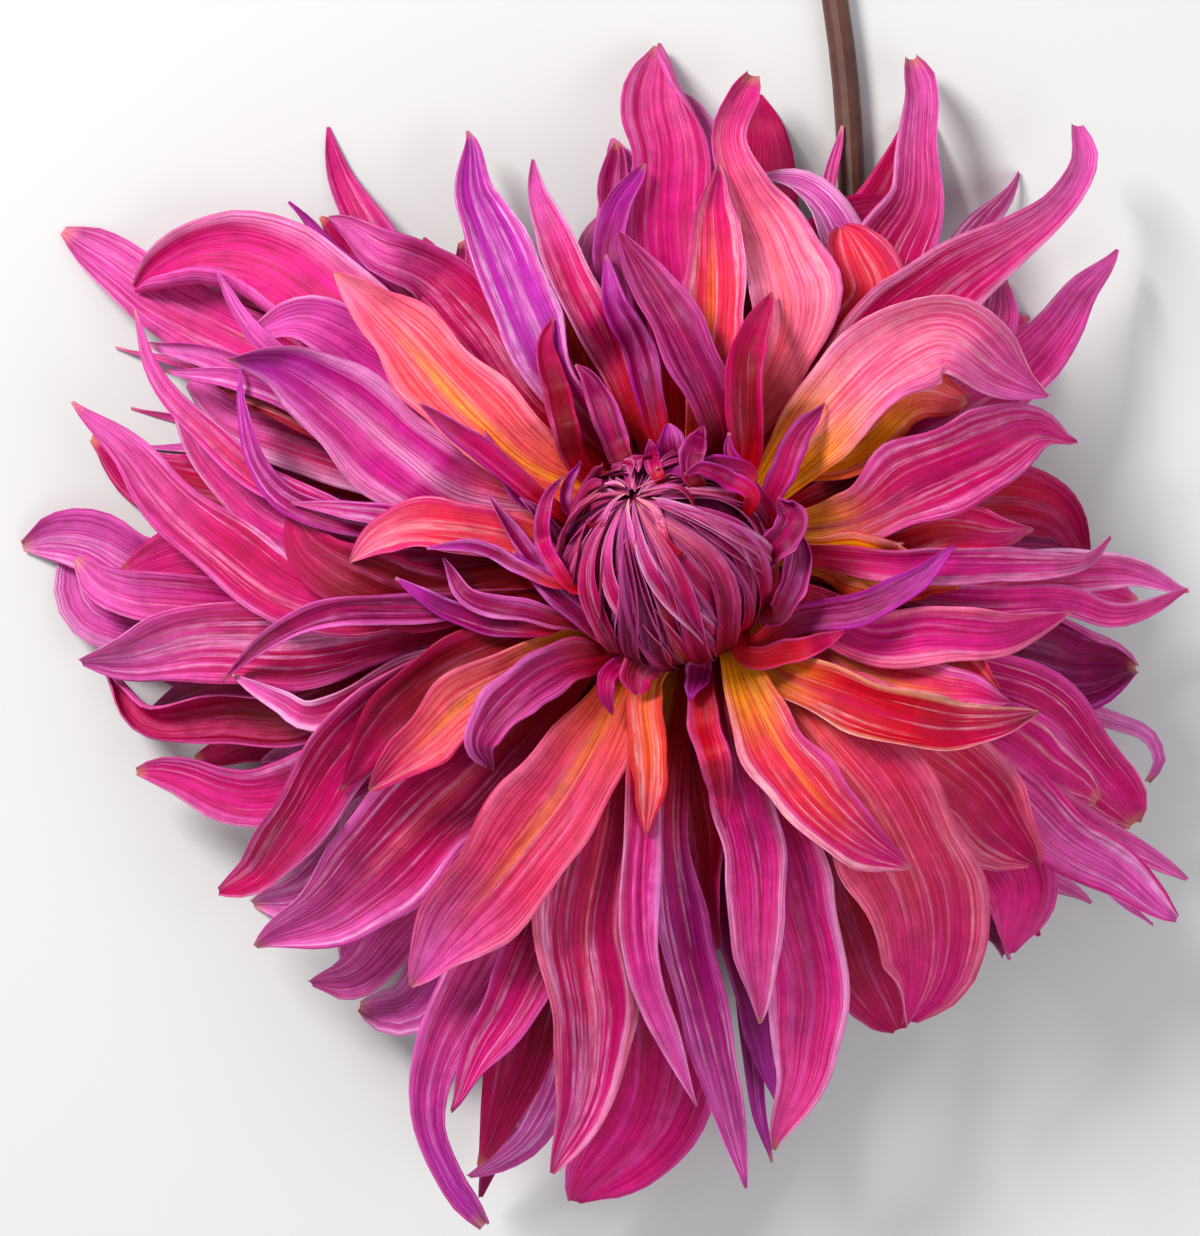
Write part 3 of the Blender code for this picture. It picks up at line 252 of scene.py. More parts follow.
# Florets with margins or turns of their own: left and right margin in degrees,
# a roll of the blade in degrees at base, middle and tip, and a look.
SPECIAL = {
    "M1": dict(look="EAN/N/Y/L", edge=(30, 50)),
    "M2": dict(look="RDL/L/D/V", edge=(60, 60)),
    "M4": dict(look="DDM/L/D/V"),
    "U1": dict(look="DVV/L/W/L", edge=(35, 35)),
    "U4": dict(look="RMO/L/D/L", edge=(120, 50)),
    "U4b": dict(look="LLL/W/L/W"),
    "U5": dict(look="ANM/L/A/L", edge=(40, 60), end="tail"),
    "U7": dict(look="HLL/W/V/W", roll=(0, 20, 60)),
    "U9": dict(look="ERS/D/S/L"),
    "R1": dict(look="RDL/L/D/L", edge=(70, 40), end="tail"),
    "R3": dict(look="RDL/W/D/L", end="tail"),
    "R5": dict(look="RML/L/D/L"),
    "R14": dict(look="DOL/W/V/L", end="tail"),
    "S13": dict(z=(50, 67, 71)), "S13b": dict(z=(50, 66, 70)), "S14": dict(z=(50, 63, 66)),
    "S15": dict(z=(50, 60, 62), edge=(90, 90)), "S15b": dict(z=(50, 61, 63), edge=(90, 90)),
    "C3": dict(look="YES/R/Y/L"), "C4": dict(look="YYE/R/Y/L"), "C5": dict(look="YYA/R/Y/L"),
    "C6": dict(look="YES/R/Y/L"), "B5b": dict(look="YES/R/Y/L"),
    "B21": dict(look="DML/W/D/L", end="blunt"), "B14": dict(look="DML/L/D/L", end="blunt"),
    "B15": dict(look="DML/L/D/L", end="blunt"), "B13": dict(look="DHL/W/V/L", end="blunt"),
    "L8": dict(look="DHL/W/V/L", end="blunt"), "L7": dict(look="DML/L/D/L", end="blunt"),
    "R24": dict(look="RDM/L/D/L", end="blunt"), "L15": dict(look="DML/L/D/L", end="blunt"),
    "R19a": dict(look="SMM/L/S/L", end="blunt"), "R19b": dict(look="SMM/L/S/L", end="blunt"),
    "R6": dict(look="YNL/L/N/L", edge=(30, 55)),
    "R7": dict(look="YDM/L/P/L"),
    "R13": dict(look="DPP/V/P/L", edge=(50, 130)),
    "R15": dict(look="SMM/N/D/L"),
    "R17": dict(look="YRD/K/D/L", edge=(100, 40)),
    "R20": dict(look="ROL/M/W/L"),
    "R26": dict(look="RJD/N/S/L", end="blunt"),
    "R27": dict(look="EJM/N/A/L", edge=(35, 40), end="blunt"),
    "R28": dict(look="RRD/O/D/P", end="blunt"),
    "R29": dict(look="YSM/L/Y/L"),
    "B1": dict(look="DMO/W/P/L"),
    "B2": dict(look="RMO/W/D/L"),
    "B3": dict(look="RHL/L/D/L"),
    "B5": dict(look="RML/W/P/V"),
    "B6": dict(look="RDM/N/S/L"),
    "B7": dict(look="RDM/L/D/L", end="blunt"),
    "B8": dict(look="DOV/L/P/L", edge=(40, 110), end="tail"),
    "B17": dict(look="RDL/L/A/L"),
    "B18": dict(look="EJL/N/Y/L", edge=(40, 60)),
    "B20": dict(look="CDD/L/C/L"),
    "C1": dict(look="YAD/M/Y/L"),
    "L1": dict(look="DMM/L/S/L"),
    "L3": dict(look="CCD/L/C/L", edge=(110, 110)),
    "L5": dict(look="RDL/L/W/L"),
    "L6": dict(look="DHL/L/V/L", end="blunt"),
    "L10": dict(look="RDL/L/M/L"),
    "L17": dict(look="DMM/W/D/L", edge=(60, 130)),
    "L20": dict(look="AHV/W/W/L"),
    "L9": dict(look="RDM/O/C/P"),
    "L25": dict(look="ESN/M/S/L"),
    "L22c": dict(look="YSC/C/Y/L"),
}

BACK_FLORETS = (
    ("back_florets_north", 96), ("back_florets_north", 124),
    ("back_florets_west", 152), ("back_florets_west", 182), ("back_florets_west", 210),
    ("back_florets_south", 240), ("back_florets_south", 270), ("back_florets_south", 300),
    ("back_florets_east", 330), ("back_florets_east", 2), ("back_florets_east", 30),
)
BACK_STEPS = (84.0, 190.0, 300.0, 385.0)
BACK_Z = (27.0, 25.0, -2.0)

STEM = (
    (835, 0, 2.6), (842, 50, 2.6), (847, 100, 2.6), (850, 150, 2.7), (852, 218, 2.8),
    (848, 300, 2.8), (830, 380, 2.9), (795, 448, 3.4), (752, 498, 5.2),
    (712, 532, 9.0), (685, 553, 14.5), (672, 563, 20.0), (670, 565, 22.6),
)
STEM_END_Y = 200.0


# The bearing where each outer group of florets ends.
GROUP_ENDS = ((-132, "outer_florets_west"), (-56, "outer_florets_north"), (47, "outer_florets_east"),
              (137, "outer_florets_south"), (181, "outer_florets_west"))


def smooth(low, high, x):
    t = np.clip((x - low) / (high - low), 0, 1)
    return t * t * (3 - 2 * t)


def linear(code):
    c = np.array(PALETTE[code], float) / 255
    return np.where(c <= 0.04045, c / 12.92, ((c + 0.055) / 1.055) ** 2.4)


def place(step, z):
    scale = SHEET_MM * (EYE_HEIGHT - z) / (EYE_HEIGHT - Z_REF)
    return np.stack(
        [(step[..., 0] - SHEET_MID[0]) * scale, (SHEET_MID[1] - step[..., 1]) * scale, z + 0 * scale],
        axis=-1,
    )


# The CAD model's origin is the middle of its box, so the sheet is found from the receptacle.
_low, _high = (np.array(c) * 1000 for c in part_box("receptacle"))
ORIGIN = place(np.array(HEAD), np.float64(31.0))[:2] - (_low + _high)[:2] / 2


def to_row(points):
    """Millimetres of the sheet to metres of the row frame."""
    out = np.array(points, float) / 1000
    out[..., 0] -= ORIGIN[0] / 1000
    out[..., 1] -= ORIGIN[1] / 1000
    return out


def tilt_at(step):
    along = ((step[..., 0] - HEAD[0]) + (step[..., 1] - HEAD[1])) * 0.7071 * SHEET_MM
    return HEAD_TILT * np.clip(along, -60.0, 60.0)


def curve_through(points, count):
    p = np.array(points, float)
    ends = np.vstack([2 * p[0] - p[1], p, 2 * p[-1] - p[-2]])
    out = []
    for i in range(len(p) - 1):
        a, b, c, d = ends[i : i + 4]
        t = np.linspace(0, 1, 24, endpoint=False)[:, None]
        out.append(
            0.5 * (2 * b + (c - a) * t + (2 * a - 5 * b + 4 * c - d) * t**2 + (3 * b - a - 3 * c + d) * t**3)
        )
    line = np.vstack(out + [p[-1:]])
    run = np.concatenate([[0], np.cumsum(np.linalg.norm(np.diff(line[:, :2], axis=0), axis=1))])
    at = np.linspace(0, run[-1], count + 1)
    return np.stack([np.interp(at, run, line[:, k]) for k in range(p.shape[1])], axis=1)


def traced(text, layer):
    points = [tuple(float(n) for n in pair.split(",")) for pair in text.split()]
    near = RING_STEPS + (12 if layer > 9 else 22) if layer > 7 else 132 + 6 * (7 - layer)
    return [p for p in points if math.dist(p, HEAD) > near]


def bearings_of(rows):
    wanted = {}
    for name, _, layer, _, _, text in rows:
        far = traced(text, layer)
        share = 0.3 if layer > 7 else 0.35 + 0.05 * (7 - layer)
        x, y = (far[0][k] * (1 - share) + far[-1][k] * share - HEAD[k] for k in (0, 1))
        wanted[name] = (layer > 7, math.atan2(y, x))
    out = {}
    for inner in (False, True):
        names = sorted((n for n in wanted if wanted[n][0] == inner), key=lambda n: wanted[n][1])
        even = [2 * math.pi * (i + 0.5) / len(names) - math.pi for i in range(len(names))]
        offset = sum(wanted[n][1] - e for n, e in zip(names, even)) / len(names)
        for n, e in zip(names, even):
            out[n] = EVEN * (e + offset) + (1 - EVEN) * wanted[n][1]
    return out


class Petal:
    """A floret's blade: a line of stations, each with a curved cross-section."""

    shade = 1.0

    def __init__(self, name, steps, z, half, edge, roll, rng, rows, across, thick=THICK, ruffle=1.0):
        self.name, self.steps, self.z, self.half = name, steps, z, half
        self.edge, self.roll, self.rows, self.across, self.thick = edge, roll, rows, across, thick
        s = np.linspace(0, 1, rows + 1)[:, None]
        t = np.linspace(-1, 1, across + 1)[None]
        self.s, self.t = s, t
        # Soft waves of the margins and shallow lengthwise channels, different in every floret.
        a, b, c, d = (rng.uniform(0, 6.28) for _ in range(4))
        f1, f2 = rng.uniform(1.3, 2.2), rng.uniform(2.8, 4.4)
        self.power = rng.uniform(0.85, 1.6)
        wave = np.sin(6.28 * f1 * s + a + 1.3 * np.sign(t)) * 0.6 + np.sin(6.28 * f2 * s + b - 1.1 * np.sign(t)) * 0.35
        size = np.clip(half, 0, 8)[:, None]
        self.relief = ruffle * (
            0.17 * size * wave * np.abs(t) ** 3 * smooth(0.1, 0.5, s)
            + 0.035 * size * np.cos(t * 3.1416 * 2.5 + 0.3 * np.sin(3 * s + c)) * smooth(0.05, 0.3, s) * smooth(1.0, 0.8, s)
            - 0.10 * size * np.exp(-((t / 0.16) ** 2)) * smooth(0.0, 0.2, s) * smooth(1.0, 0.75, s)
        )
        lobes = np.sin(6.28 * (f1 + 0.4) * s + d + 1.7 * np.sign(t)) + 0.6 * np.sin(6.28 * (f2 + 0.7) * s + a - 2.1 * np.sign(t))
        self.sway = ruffle * 0.085 * half[:, None] * lobes * np.sign(t) * np.abs(t) ** 1.5

    def sheet(self):
        mid = place(self.steps, self.z)
        along = np.gradient(mid, axis=0)
        level = np.linalg.norm(along[:, :2], axis=1)
        along[:, 2] = np.clip(along[:, 2], -0.8 * level, 0.8 * level)
        along /= np.maximum(np.linalg.norm(along, axis=1, keepdims=True), 1e-6)
        side = np.stack([-along[:, 1], along[:, 0], 0 * along[:, 0]], axis=1)
        side /= np.maximum(np.linalg.norm(side, axis=1, keepdims=True), 1e-6)
        up = np.cross(along, side)
        up *= np.sign(up[:, 2:3] + 1e-9)
        turn = np.radians(self.roll)[:, None]
        side, up = side * np.cos(turn) + up * np.sin(turn), up * np.cos(turn) - side * np.sin(turn)
        # The cross-section turns up towards each margin, and is as wide as it looks from above.
        t = self.t[0]
        left, right = self.edge
        angle = np.radians(np.where(t[None] < 0, left[:, None], right[:, None])) * np.abs(t)[None] ** self.power
        dx, dz = np.cos(angle), np.sin(angle) * np.sign(t)[None]
        width = 2 / self.across
        x = np.concatenate([np.zeros((len(self.z), 1)), np.cumsum((dx[:, 1:] + dx[:, :-1]) / 2 * width, axis=1)], axis=1)
        z = np.concatenate([np.zeros((len(self.z), 1)), np.cumsum((dz[:, 1:] + dz[:, :-1]) / 2 * width, axis=1)], axis=1)
        middle = self.across // 2
        x, z = x - x[:, middle : middle + 1], z - z[:, middle : middle + 1]
        z = np.abs(z)
        reach = (x.max(axis=1) - x.min(axis=1)) / 2
        grow = np.clip(1 / reach, 1, 1.6)[:, None]
        shift = (x.max(axis=1) + x.min(axis=1))[:, None] / 2
        x, z = (x - shift) * grow, z * grow
        half = self.half[:, None]
        return (
            mid[:, None]
            + side[:, None] * (x * half + self.sway)[..., None]
            + up[:, None] * (z * half + self.relief)[..., None]
        )

    def facing(self, normal):
        return normal[..., 2].mean()

    def both(self):
        """Points of the upper and the lower face."""
        sheet = self.sheet()
        du, dv = np.gradient(sheet, axis=0), np.gradient(sheet, axis=1)
        normal = np.cross(dv, du)
        normal /= np.maximum(np.linalg.norm(normal, axis=2, keepdims=True), 1e-9)
        if self.facing(normal) < 0:
            normal = -normal
        # The blade thins towards its margins and tip.
        thin = self.thick * (1 - 0.55 * np.abs(self.t) ** 3) * (1 - 0.35 * self.s) / 2
        offset = normal * np.broadcast_to(thin, sheet.shape[:2])[..., None]
        return sheet + offset, sheet - offset


def finer(grid, k):
    """The grid with k times as many points each way, by straight interpolation."""
    for axis in (0, 1):
        n = grid.shape[axis]
        at = np.linspace(0, n - 1, (n - 1) * k + 1)
        low = np.minimum(at.astype(int), n - 2)
        part = (at - low).reshape((-1, 1, 1) if axis == 0 else (1, -1, 1))
        grid = np.take(grid, low, axis) * (1 - part) + np.take(grid, low + 1, axis) * part
    return grid


class Map:
    SIZE = 640

    def __init__(self):
        self.top = np.full((self.SIZE, self.SIZE), -GAP)

    @staticmethod
    def cell(points):
        at = (points[..., :2] / CELL + Map.SIZE / 2).astype(int)
        return at.clip(0, Map.SIZE - 1)

    def spread(self):
        wide = self.top.copy()
        for axis in (0, 1):
            wide = np.maximum(wide, np.maximum(np.roll(wide, 1, axis), np.roll(wide, -1, axis)))
        return wide

    def stamp(self, points):
        at = self.cell(points).reshape(-1, 2)
        np.maximum.at(self.top, (at[:, 0], at[:, 1]), points.reshape(-1, 3)[:, 2])


def settle(petal, wide, rounds=14, reach=2):
    """Lifts the petal's stations until its underside clears what lies below, and smooths the lift."""
    count = len(petal.z)
    start = petal.z.copy()
    for _ in range(rounds):
        need = np.zeros(count)
        for face in petal.both():
            fine = finer(face, 2)
            at = Map.cell(fine)
            short = (wide[at[..., 0], at[..., 1]] + GAP - fine[..., 2]).max(axis=1)
            for k in range(3):
                part = short[max(0, k - 1) :: 2][:count]
                need[: len(part)] = np.maximum(need[: len(part)], part)
        if need.max() < 0.04:
            break
        lift = np.maximum(need, 0) * 0.7
        # A lift spreads along the blade, so that it bends rather than kinks.
        wide_lift = lift.copy()
        for k in range(1, 3):
            fall = 1 - k / 3
            wide_lift[k:] = np.maximum(wide_lift[k:], lift[:-k] * fall)
            wide_lift[:-k] = np.maximum(wide_lift[:-k], lift[k:] * fall)
        petal.z = petal.z + wide_lift
    # The highest lift within reach, then its mean over the same reach: nowhere less than the lift.
    lift = np.pad(petal.z - start, 2 * reach, mode="edge")
    high = np.max([lift[k : len(lift) - 2 * reach + k] for k in range(2 * reach + 1)], axis=0)
    petal.z = start + np.mean([high[k : k + count] for k in range(2 * reach + 1)], axis=0)
    return petal


def material(name, rough=0.5, bump=0.4, vein=0.75, deepen=(0.60, 0.06, 0.30), pale=(0.88, 0.33, 0.62), lines=0.9):
    """Petal tissue: the floret's own colours, broken by fine lengthwise veins and a soft sheen."""
    made = bpy.data.materials.new(name)
    made.use_nodes = True
    tree = made.node_tree
    shader = tree.nodes["Principled BSDF"]

    def node(kind, **values):
        made_node = tree.nodes.new(kind)
        for key, value in values.items():
            if key in made_node.inputs:
                made_node.inputs[key].default_value = value
            else:
                setattr(made_node, key, value)
        return made_node

    link = tree.links.new
    colour = node("ShaderNodeAttribute", attribute_name="tint")
    uv = node("ShaderNodeUVMap", uv_map="blade")
    seed = node("ShaderNodeAttribute", attribute_name="seed")
    stretch = node("ShaderNodeMapping")
    stretch.inputs["Scale"].default_value = (1.0, 0.018, 1.0)
    link(uv.outputs["UV"], stretch.inputs["Vector"])
    joined = node("ShaderNodeVectorMath", operation="ADD")
    link(stretch.outputs["Vector"], joined.inputs[0])
    link(seed.outputs["Vector"], joined.inputs[1])
    fine = node("ShaderNodeTexNoise", Scale=24.0, Detail=4.0, Roughness=0.6, Distortion=0.1)
    broad = node("ShaderNodeTexNoise", Scale=8.5, Detail=4.0, Roughness=0.6, Distortion=0.15)
    link(joined.outputs[0], fine.inputs["Vector"])
    link(joined.outputs[0], broad.inputs["Vector"])
    blotch = node("ShaderNodeTexNoise", Scale=2.4, Detail=3.0, Roughness=0.6)
    link(uv.outputs["UV"], blotch.inputs["Vector"])
    # Dark veins, which deepen the colour rather than grey it.
    dark = node("ShaderNodeMapRange")
    dark.inputs["From Min"].default_value, dark.inputs["From Max"].default_value = 0.55, 0.43
    dark.inputs["To Min"].default_value, dark.inputs["To Max"].default_value = 0.0, vein
    link(fine.outputs["Fac"], dark.inputs["Value"])
    deep = node("ShaderNodeVectorMath", operation="MULTIPLY")
    deep.inputs[1].default_value = deepen
    link(colour.outputs["Color"], deep.inputs[0])

    def mix(factor, first, second=None, colour_b=None):
        made_mix = node("ShaderNodeMix", data_type="RGBA")
        for socket in made_mix.inputs:
            if socket.name == "A" and socket.type == "RGBA":
                link(first, socket)
            if socket.name == "B" and socket.type == "RGBA":
                if second is None:
                    socket.default_value = colour_b
                else:
                    link(second, socket)
            if socket.name == "Factor" and socket.type == "VALUE":
                link(factor, socket)
        return [o for o in made_mix.outputs if o.type == "RGBA"][0]

    veined = mix(dark.outputs["Result"], colour.outputs["Color"], deep.outputs[0])
    # Pale streaks, stronger towards the tip.
    light = node("ShaderNodeMapRange")
    light.inputs["From Min"].default_value, light.inputs["From Max"].default_value = 0.52, 0.62
    light.inputs["To Min"].default_value, light.inputs["To Max"].default_value = 0.0, lines
    link(broad.outputs["Fac"], light.inputs["Value"])
    # The streaks break up like brush strokes.
    shorter = node("ShaderNodeMapping")
    shorter.inputs["Scale"].default_value = (1.0, 0.12, 1.0)
    link(uv.outputs["UV"], shorter.inputs["Vector"])
    strokes = node("ShaderNodeTexNoise", Scale=16.0, Detail=3.0, Roughness=0.6)
    link(shorter.outputs["Vector"], strokes.inputs["Vector"])
    broken = node("ShaderNodeMapRange")
    broken.inputs["From Min"].default_value, broken.inputs["From Max"].default_value = 0.40, 0.58
    broken.inputs["To Min"].default_value, broken.inputs["To Max"].default_value = 0.35, 1.0
    link(strokes.outputs["Fac"], broken.inputs["Value"])
    parted = node("ShaderNodeMath", operation="MULTIPLY")
    link(light.outputs["Result"], parted.inputs[0])
    link(broken.outputs["Result"], parted.inputs[1])
    strength = node("ShaderNodeMath", operation="MULTIPLY")
    link(parted.outputs[0], strength.inputs[0])
    amount = node("ShaderNodeAttribute", attribute_name="streaks")
    link(amount.outputs["Fac"], strength.inputs[1])
    streaked = mix(strength.outputs[0], veined, colour_b=(*pale, 1))
    shade = node("ShaderNodeMapRange")
    shade.inputs["From Min"].default_value, shade.inputs["From Max"].default_value = 0.3, 0.7
    shade.inputs["To Min"].default_value, shade.inputs["To Max"].default_value = 0.82, 1.12
    link(blotch.outputs["Fac"], shade.inputs["Value"])
    final = node("ShaderNodeVectorMath", operation="SCALE")
    link(streaked, final.inputs[0])
    link(shade.outputs["Result"], final.inputs["Scale"])
    link(final.outputs[0], shader.inputs["Base Color"])
    gloss = node("ShaderNodeMapRange")
    gloss.inputs["To Min"].default_value, gloss.inputs["To Max"].default_value = rough - 0.1, rough + 0.12
    link(fine.outputs["Fac"], gloss.inputs["Value"])
    link(gloss.outputs["Result"], shader.inputs["Roughness"])
    raised = node("ShaderNodeBump", Strength=bump)
    raised.inputs["Distance"].default_value = 0.0006
    link(fine.outputs["Fac"], raised.inputs["Height"])
    link(raised.outputs["Normal"], shader.inputs["Normal"])
    shader.inputs["Subsurface Weight"].default_value = 0.1
    shader.inputs["Subsurface Radius"].default_value = (1.0, 0.25, 0.35)
    shader.inputs["Subsurface Scale"].default_value = 0.0012
    shader.inputs["Specular IOR Level"].default_value = 0.14
    return made


def tints(petal, look, rng):
    """Colours of the upper and the lower face, by place on the blade."""
    blade, margin, streak, back = look.split("/")
    base, mid, tip = (linear(c) for c in blade)
    s, t = np.broadcast_arrays(petal.s, petal.t)
    s, t = s[..., None], t[..., None]
    reach = rng.uniform(-0.05, 0.06)
    face = base * (1 - smooth(0.16 + reach, 0.46 + reach, s)) + mid * smooth(0.16 + reach, 0.46 + reach, s)
    face = face * (1 - smooth(0.6, 0.98, s)) + tip * smooth(0.6, 0.98, s)
    rib = np.exp(-(((t - rng.uniform(-0.12, 0.12)) / rng.uniform(0.07, 0.14)) ** 2))
    rib = rib * smooth(0.02, 0.15, s) * smooth(0.95, 0.5, s) * rng.uniform(0.5, 0.9)
    face = face * (1 - rib) + linear(streak) * rib
    border = rng.uniform(0.56, 0.78) + 0.05 * np.sin(9 * s + rng.uniform(0, 6) + np.sign(t))
    edge = smooth(border, border + 0.16, np.abs(t)) * smooth(0.15, 0.5, s) * rng.uniform(0.45, 0.9)
    face = face * (1 - edge) + linear(margin) * edge
    under = linear(back) * 0.75 + (0.4 * mid + 0.6 * tip) * 0.25
    under = under * (1 - 0.4 * rib) + base * 0.4 * rib + 0 * s
    dry = smooth(0.972, 0.995, s) * (rng.random() < 0.6) * 0.8
    face = face * (1 - dry) + linear("K") * dry
    low = np.array([0.94, 0.55, 0.30])
    deep = low + (1 - low) * smooth(0.14, 0.50, s)
    if base[1] < 0.05:
        face = face * deep
    lift = rng.uniform(0.84, 1.06) * petal.shade * np.array([1.0, 0.80, 0.93])
    return np.clip(face, 0, None) ** 1.08 * lift, np.clip(under, 0, None) ** 1.08 * lift


def build(petal, look, made, rng):
    top, bottom = petal.both()
    n, m = top.shape[:2]
    verts = np.concatenate([top.reshape(-1, 3), bottom.reshape(-1, 3)])
    index = np.arange(n * m).reshape(n, m)
    under = index + n * m
    a, b, c, d = index[:-1, :-1], index[:-1, 1:], index[1:, 1:], index[1:, :-1]
    quads = [np.stack([a, b, c, d], axis=-1).reshape(-1, 4)]
    a, b, c, d = (k + n * m for k in (a, b, c, d))
    quads.append(np.stack([d, c, b, a], axis=-1).reshape(-1, 4))
    loop = np.concatenate([index[0, :-1], index[:-1, -1], index[-1, :0:-1], index[:0:-1, 0]])
    after = np.roll(loop, -1)
    quads.append(np.stack([after, loop, loop + n * m, after + n * m], axis=-1))
    quads = np.concatenate(quads)
    mesh = bpy.data.meshes.new(petal.name)
    mesh.from_pydata([tuple(p) for p in to_row(verts)], [], [tuple(int(k) for k in q) for q in quads])
    mesh.update()
    # Faces out: the volume is positive.
    tri = verts[quads[:, [0, 1, 2]]]
    tri2 = verts[quads[:, [0, 2, 3]]]
    volume = np.linalg.det(tri).sum() + np.linalg.det(tri2).sum()
    if volume < 0:
        mesh.flip_normals()
    mesh.shade_smooth()
    face, back = tints(petal, look, rng)
    colour = np.ones((2 * n * m, 4))
    colour[: n * m, :3] = face.reshape(-1, 3)
    colour[n * m :, :3] = np.broadcast_to(back, top.shape).reshape(-1, 3)
    tint = mesh.color_attributes.new("tint", "FLOAT_COLOR", "POINT")
    tint.data.foreach_set("color", np.clip(colour, 0, 1).ravel().astype(np.float32))
    seed = mesh.attributes.new("seed", "FLOAT_VECTOR", "POINT")
    seed.data.foreach_set("vector", np.tile([rng.uniform(0, 50), rng.uniform(0, 50), rng.uniform(0, 50)], 2 * n * m).astype(np.float32))
    streaks = mesh.attributes.new("streaks", "FLOAT", "POINT")
    level = rng.uniform(0.4, 1.0) * smooth(0.1, 0.6, petal.s) * (0.7 + 0.5 * np.abs(petal.t) ** 2)
    streaks.data.foreach_set("value", np.concatenate([level.ravel(), level.ravel() * 0.8 + 0.2]).astype(np.float32))
    uv = mesh.uv_layers.new(name="blade")
    width = petal.half.max() * 2 / 10
    length = np.linalg.norm(np.diff(place(petal.steps, petal.z), axis=0), axis=1).sum() / 10
    u = np.broadcast_to(petal.t * width / 2, (n, m))
    v = np.broadcast_to(petal.s * length, (n, m))
    both = np.concatenate([np.stack([u, v], axis=-1).reshape(-1, 2)] * 2)
    corner = np.empty(len(mesh.loops), np.int32)
    mesh.loops.foreach_get("vertex_index", corner)
    uv.data.foreach_set("uv", both[corner].ravel().astype(np.float32))
    mesh.materials.append(made)
    obj = bpy.data.objects.new(petal.name, mesh)
    bpy.context.scene.collection.objects.link(obj)
    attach(obj, "root")
    return obj


def floret(name, midrib, layer_z, width, rng, special, rows=ROWS, across=ACROSS):
    steps = curve_through(midrib, rows)
    s = np.linspace(0, 1, rows + 1)
    a, b, c = layer_z
    z = a * (1 - s) * (1 - 2 * s) + 4 * b * s * (1 - s) + c * s * (2 * s - 1)
    z = np.maximum(z + tilt_at(steps), 0.5 if c > 0 else -2.0)
    ends = {"tail": TAIL_SHARE, "blunt": BLUNT_SHARE, "soft": SOFT_SHARE}
    end = special.get("end", "soft" if special.get("slim") and rng.random() < 0.45 else "")
    full = width * SHEET_MM * np.interp(s, WIDTH_AT, ends.get(end, WIDTH_SHARE))
    if end != "tail" and special.get("slim"):
        # The tip turns aside a little.
        ahead = np.gradient(steps, axis=0)
        ahead /= np.linalg.norm(ahead, axis=1, keepdims=True)
        hook = rng.choice((-1, 1)) * rng.uniform(0.1, 0.42) * min(width, 60) * smooth(0.82, 1.0, s) ** 1.4
        steps = steps + hook[:, None] * np.stack([-ahead[:, 1], ahead[:, 0]], axis=1)
    if special.get("slim"):
        # The narrow claw of a lower floret is longer, as there is less room between its neighbours.
        full = full * np.interp(s, (0, 0.12, 0.36, 0.5), (1.0, 0.72, 0.74, 1.0))
    full = np.minimum(full, special.get("claw", CLAW_WIDE) + np.clip(s / 0.3, 0, 1) * 100)
    edge = np.interp(s, EDGE_AT, EDGE_TURN)
    left, right = special.get("edge", (rng.uniform(24, 56), rng.uniform(24, 56)))
    edges = (edge * left / 45, edge * right / 45)
    base, mid, tip = special.get("roll", (0, rng.uniform(-9, 9), rng.uniform(-55, 55)))
    roll = np.interp(s, (0, 0.5, 0.84, 1), (base, mid, mid * 0.6 + tip * 0.4, tip))
    return Petal(name, steps, z, np.maximum(full, 0.5) / 2, edges, roll, rng, rows, across,
                 special.get("thick", THICK), special.get("ruffle", 1.0))


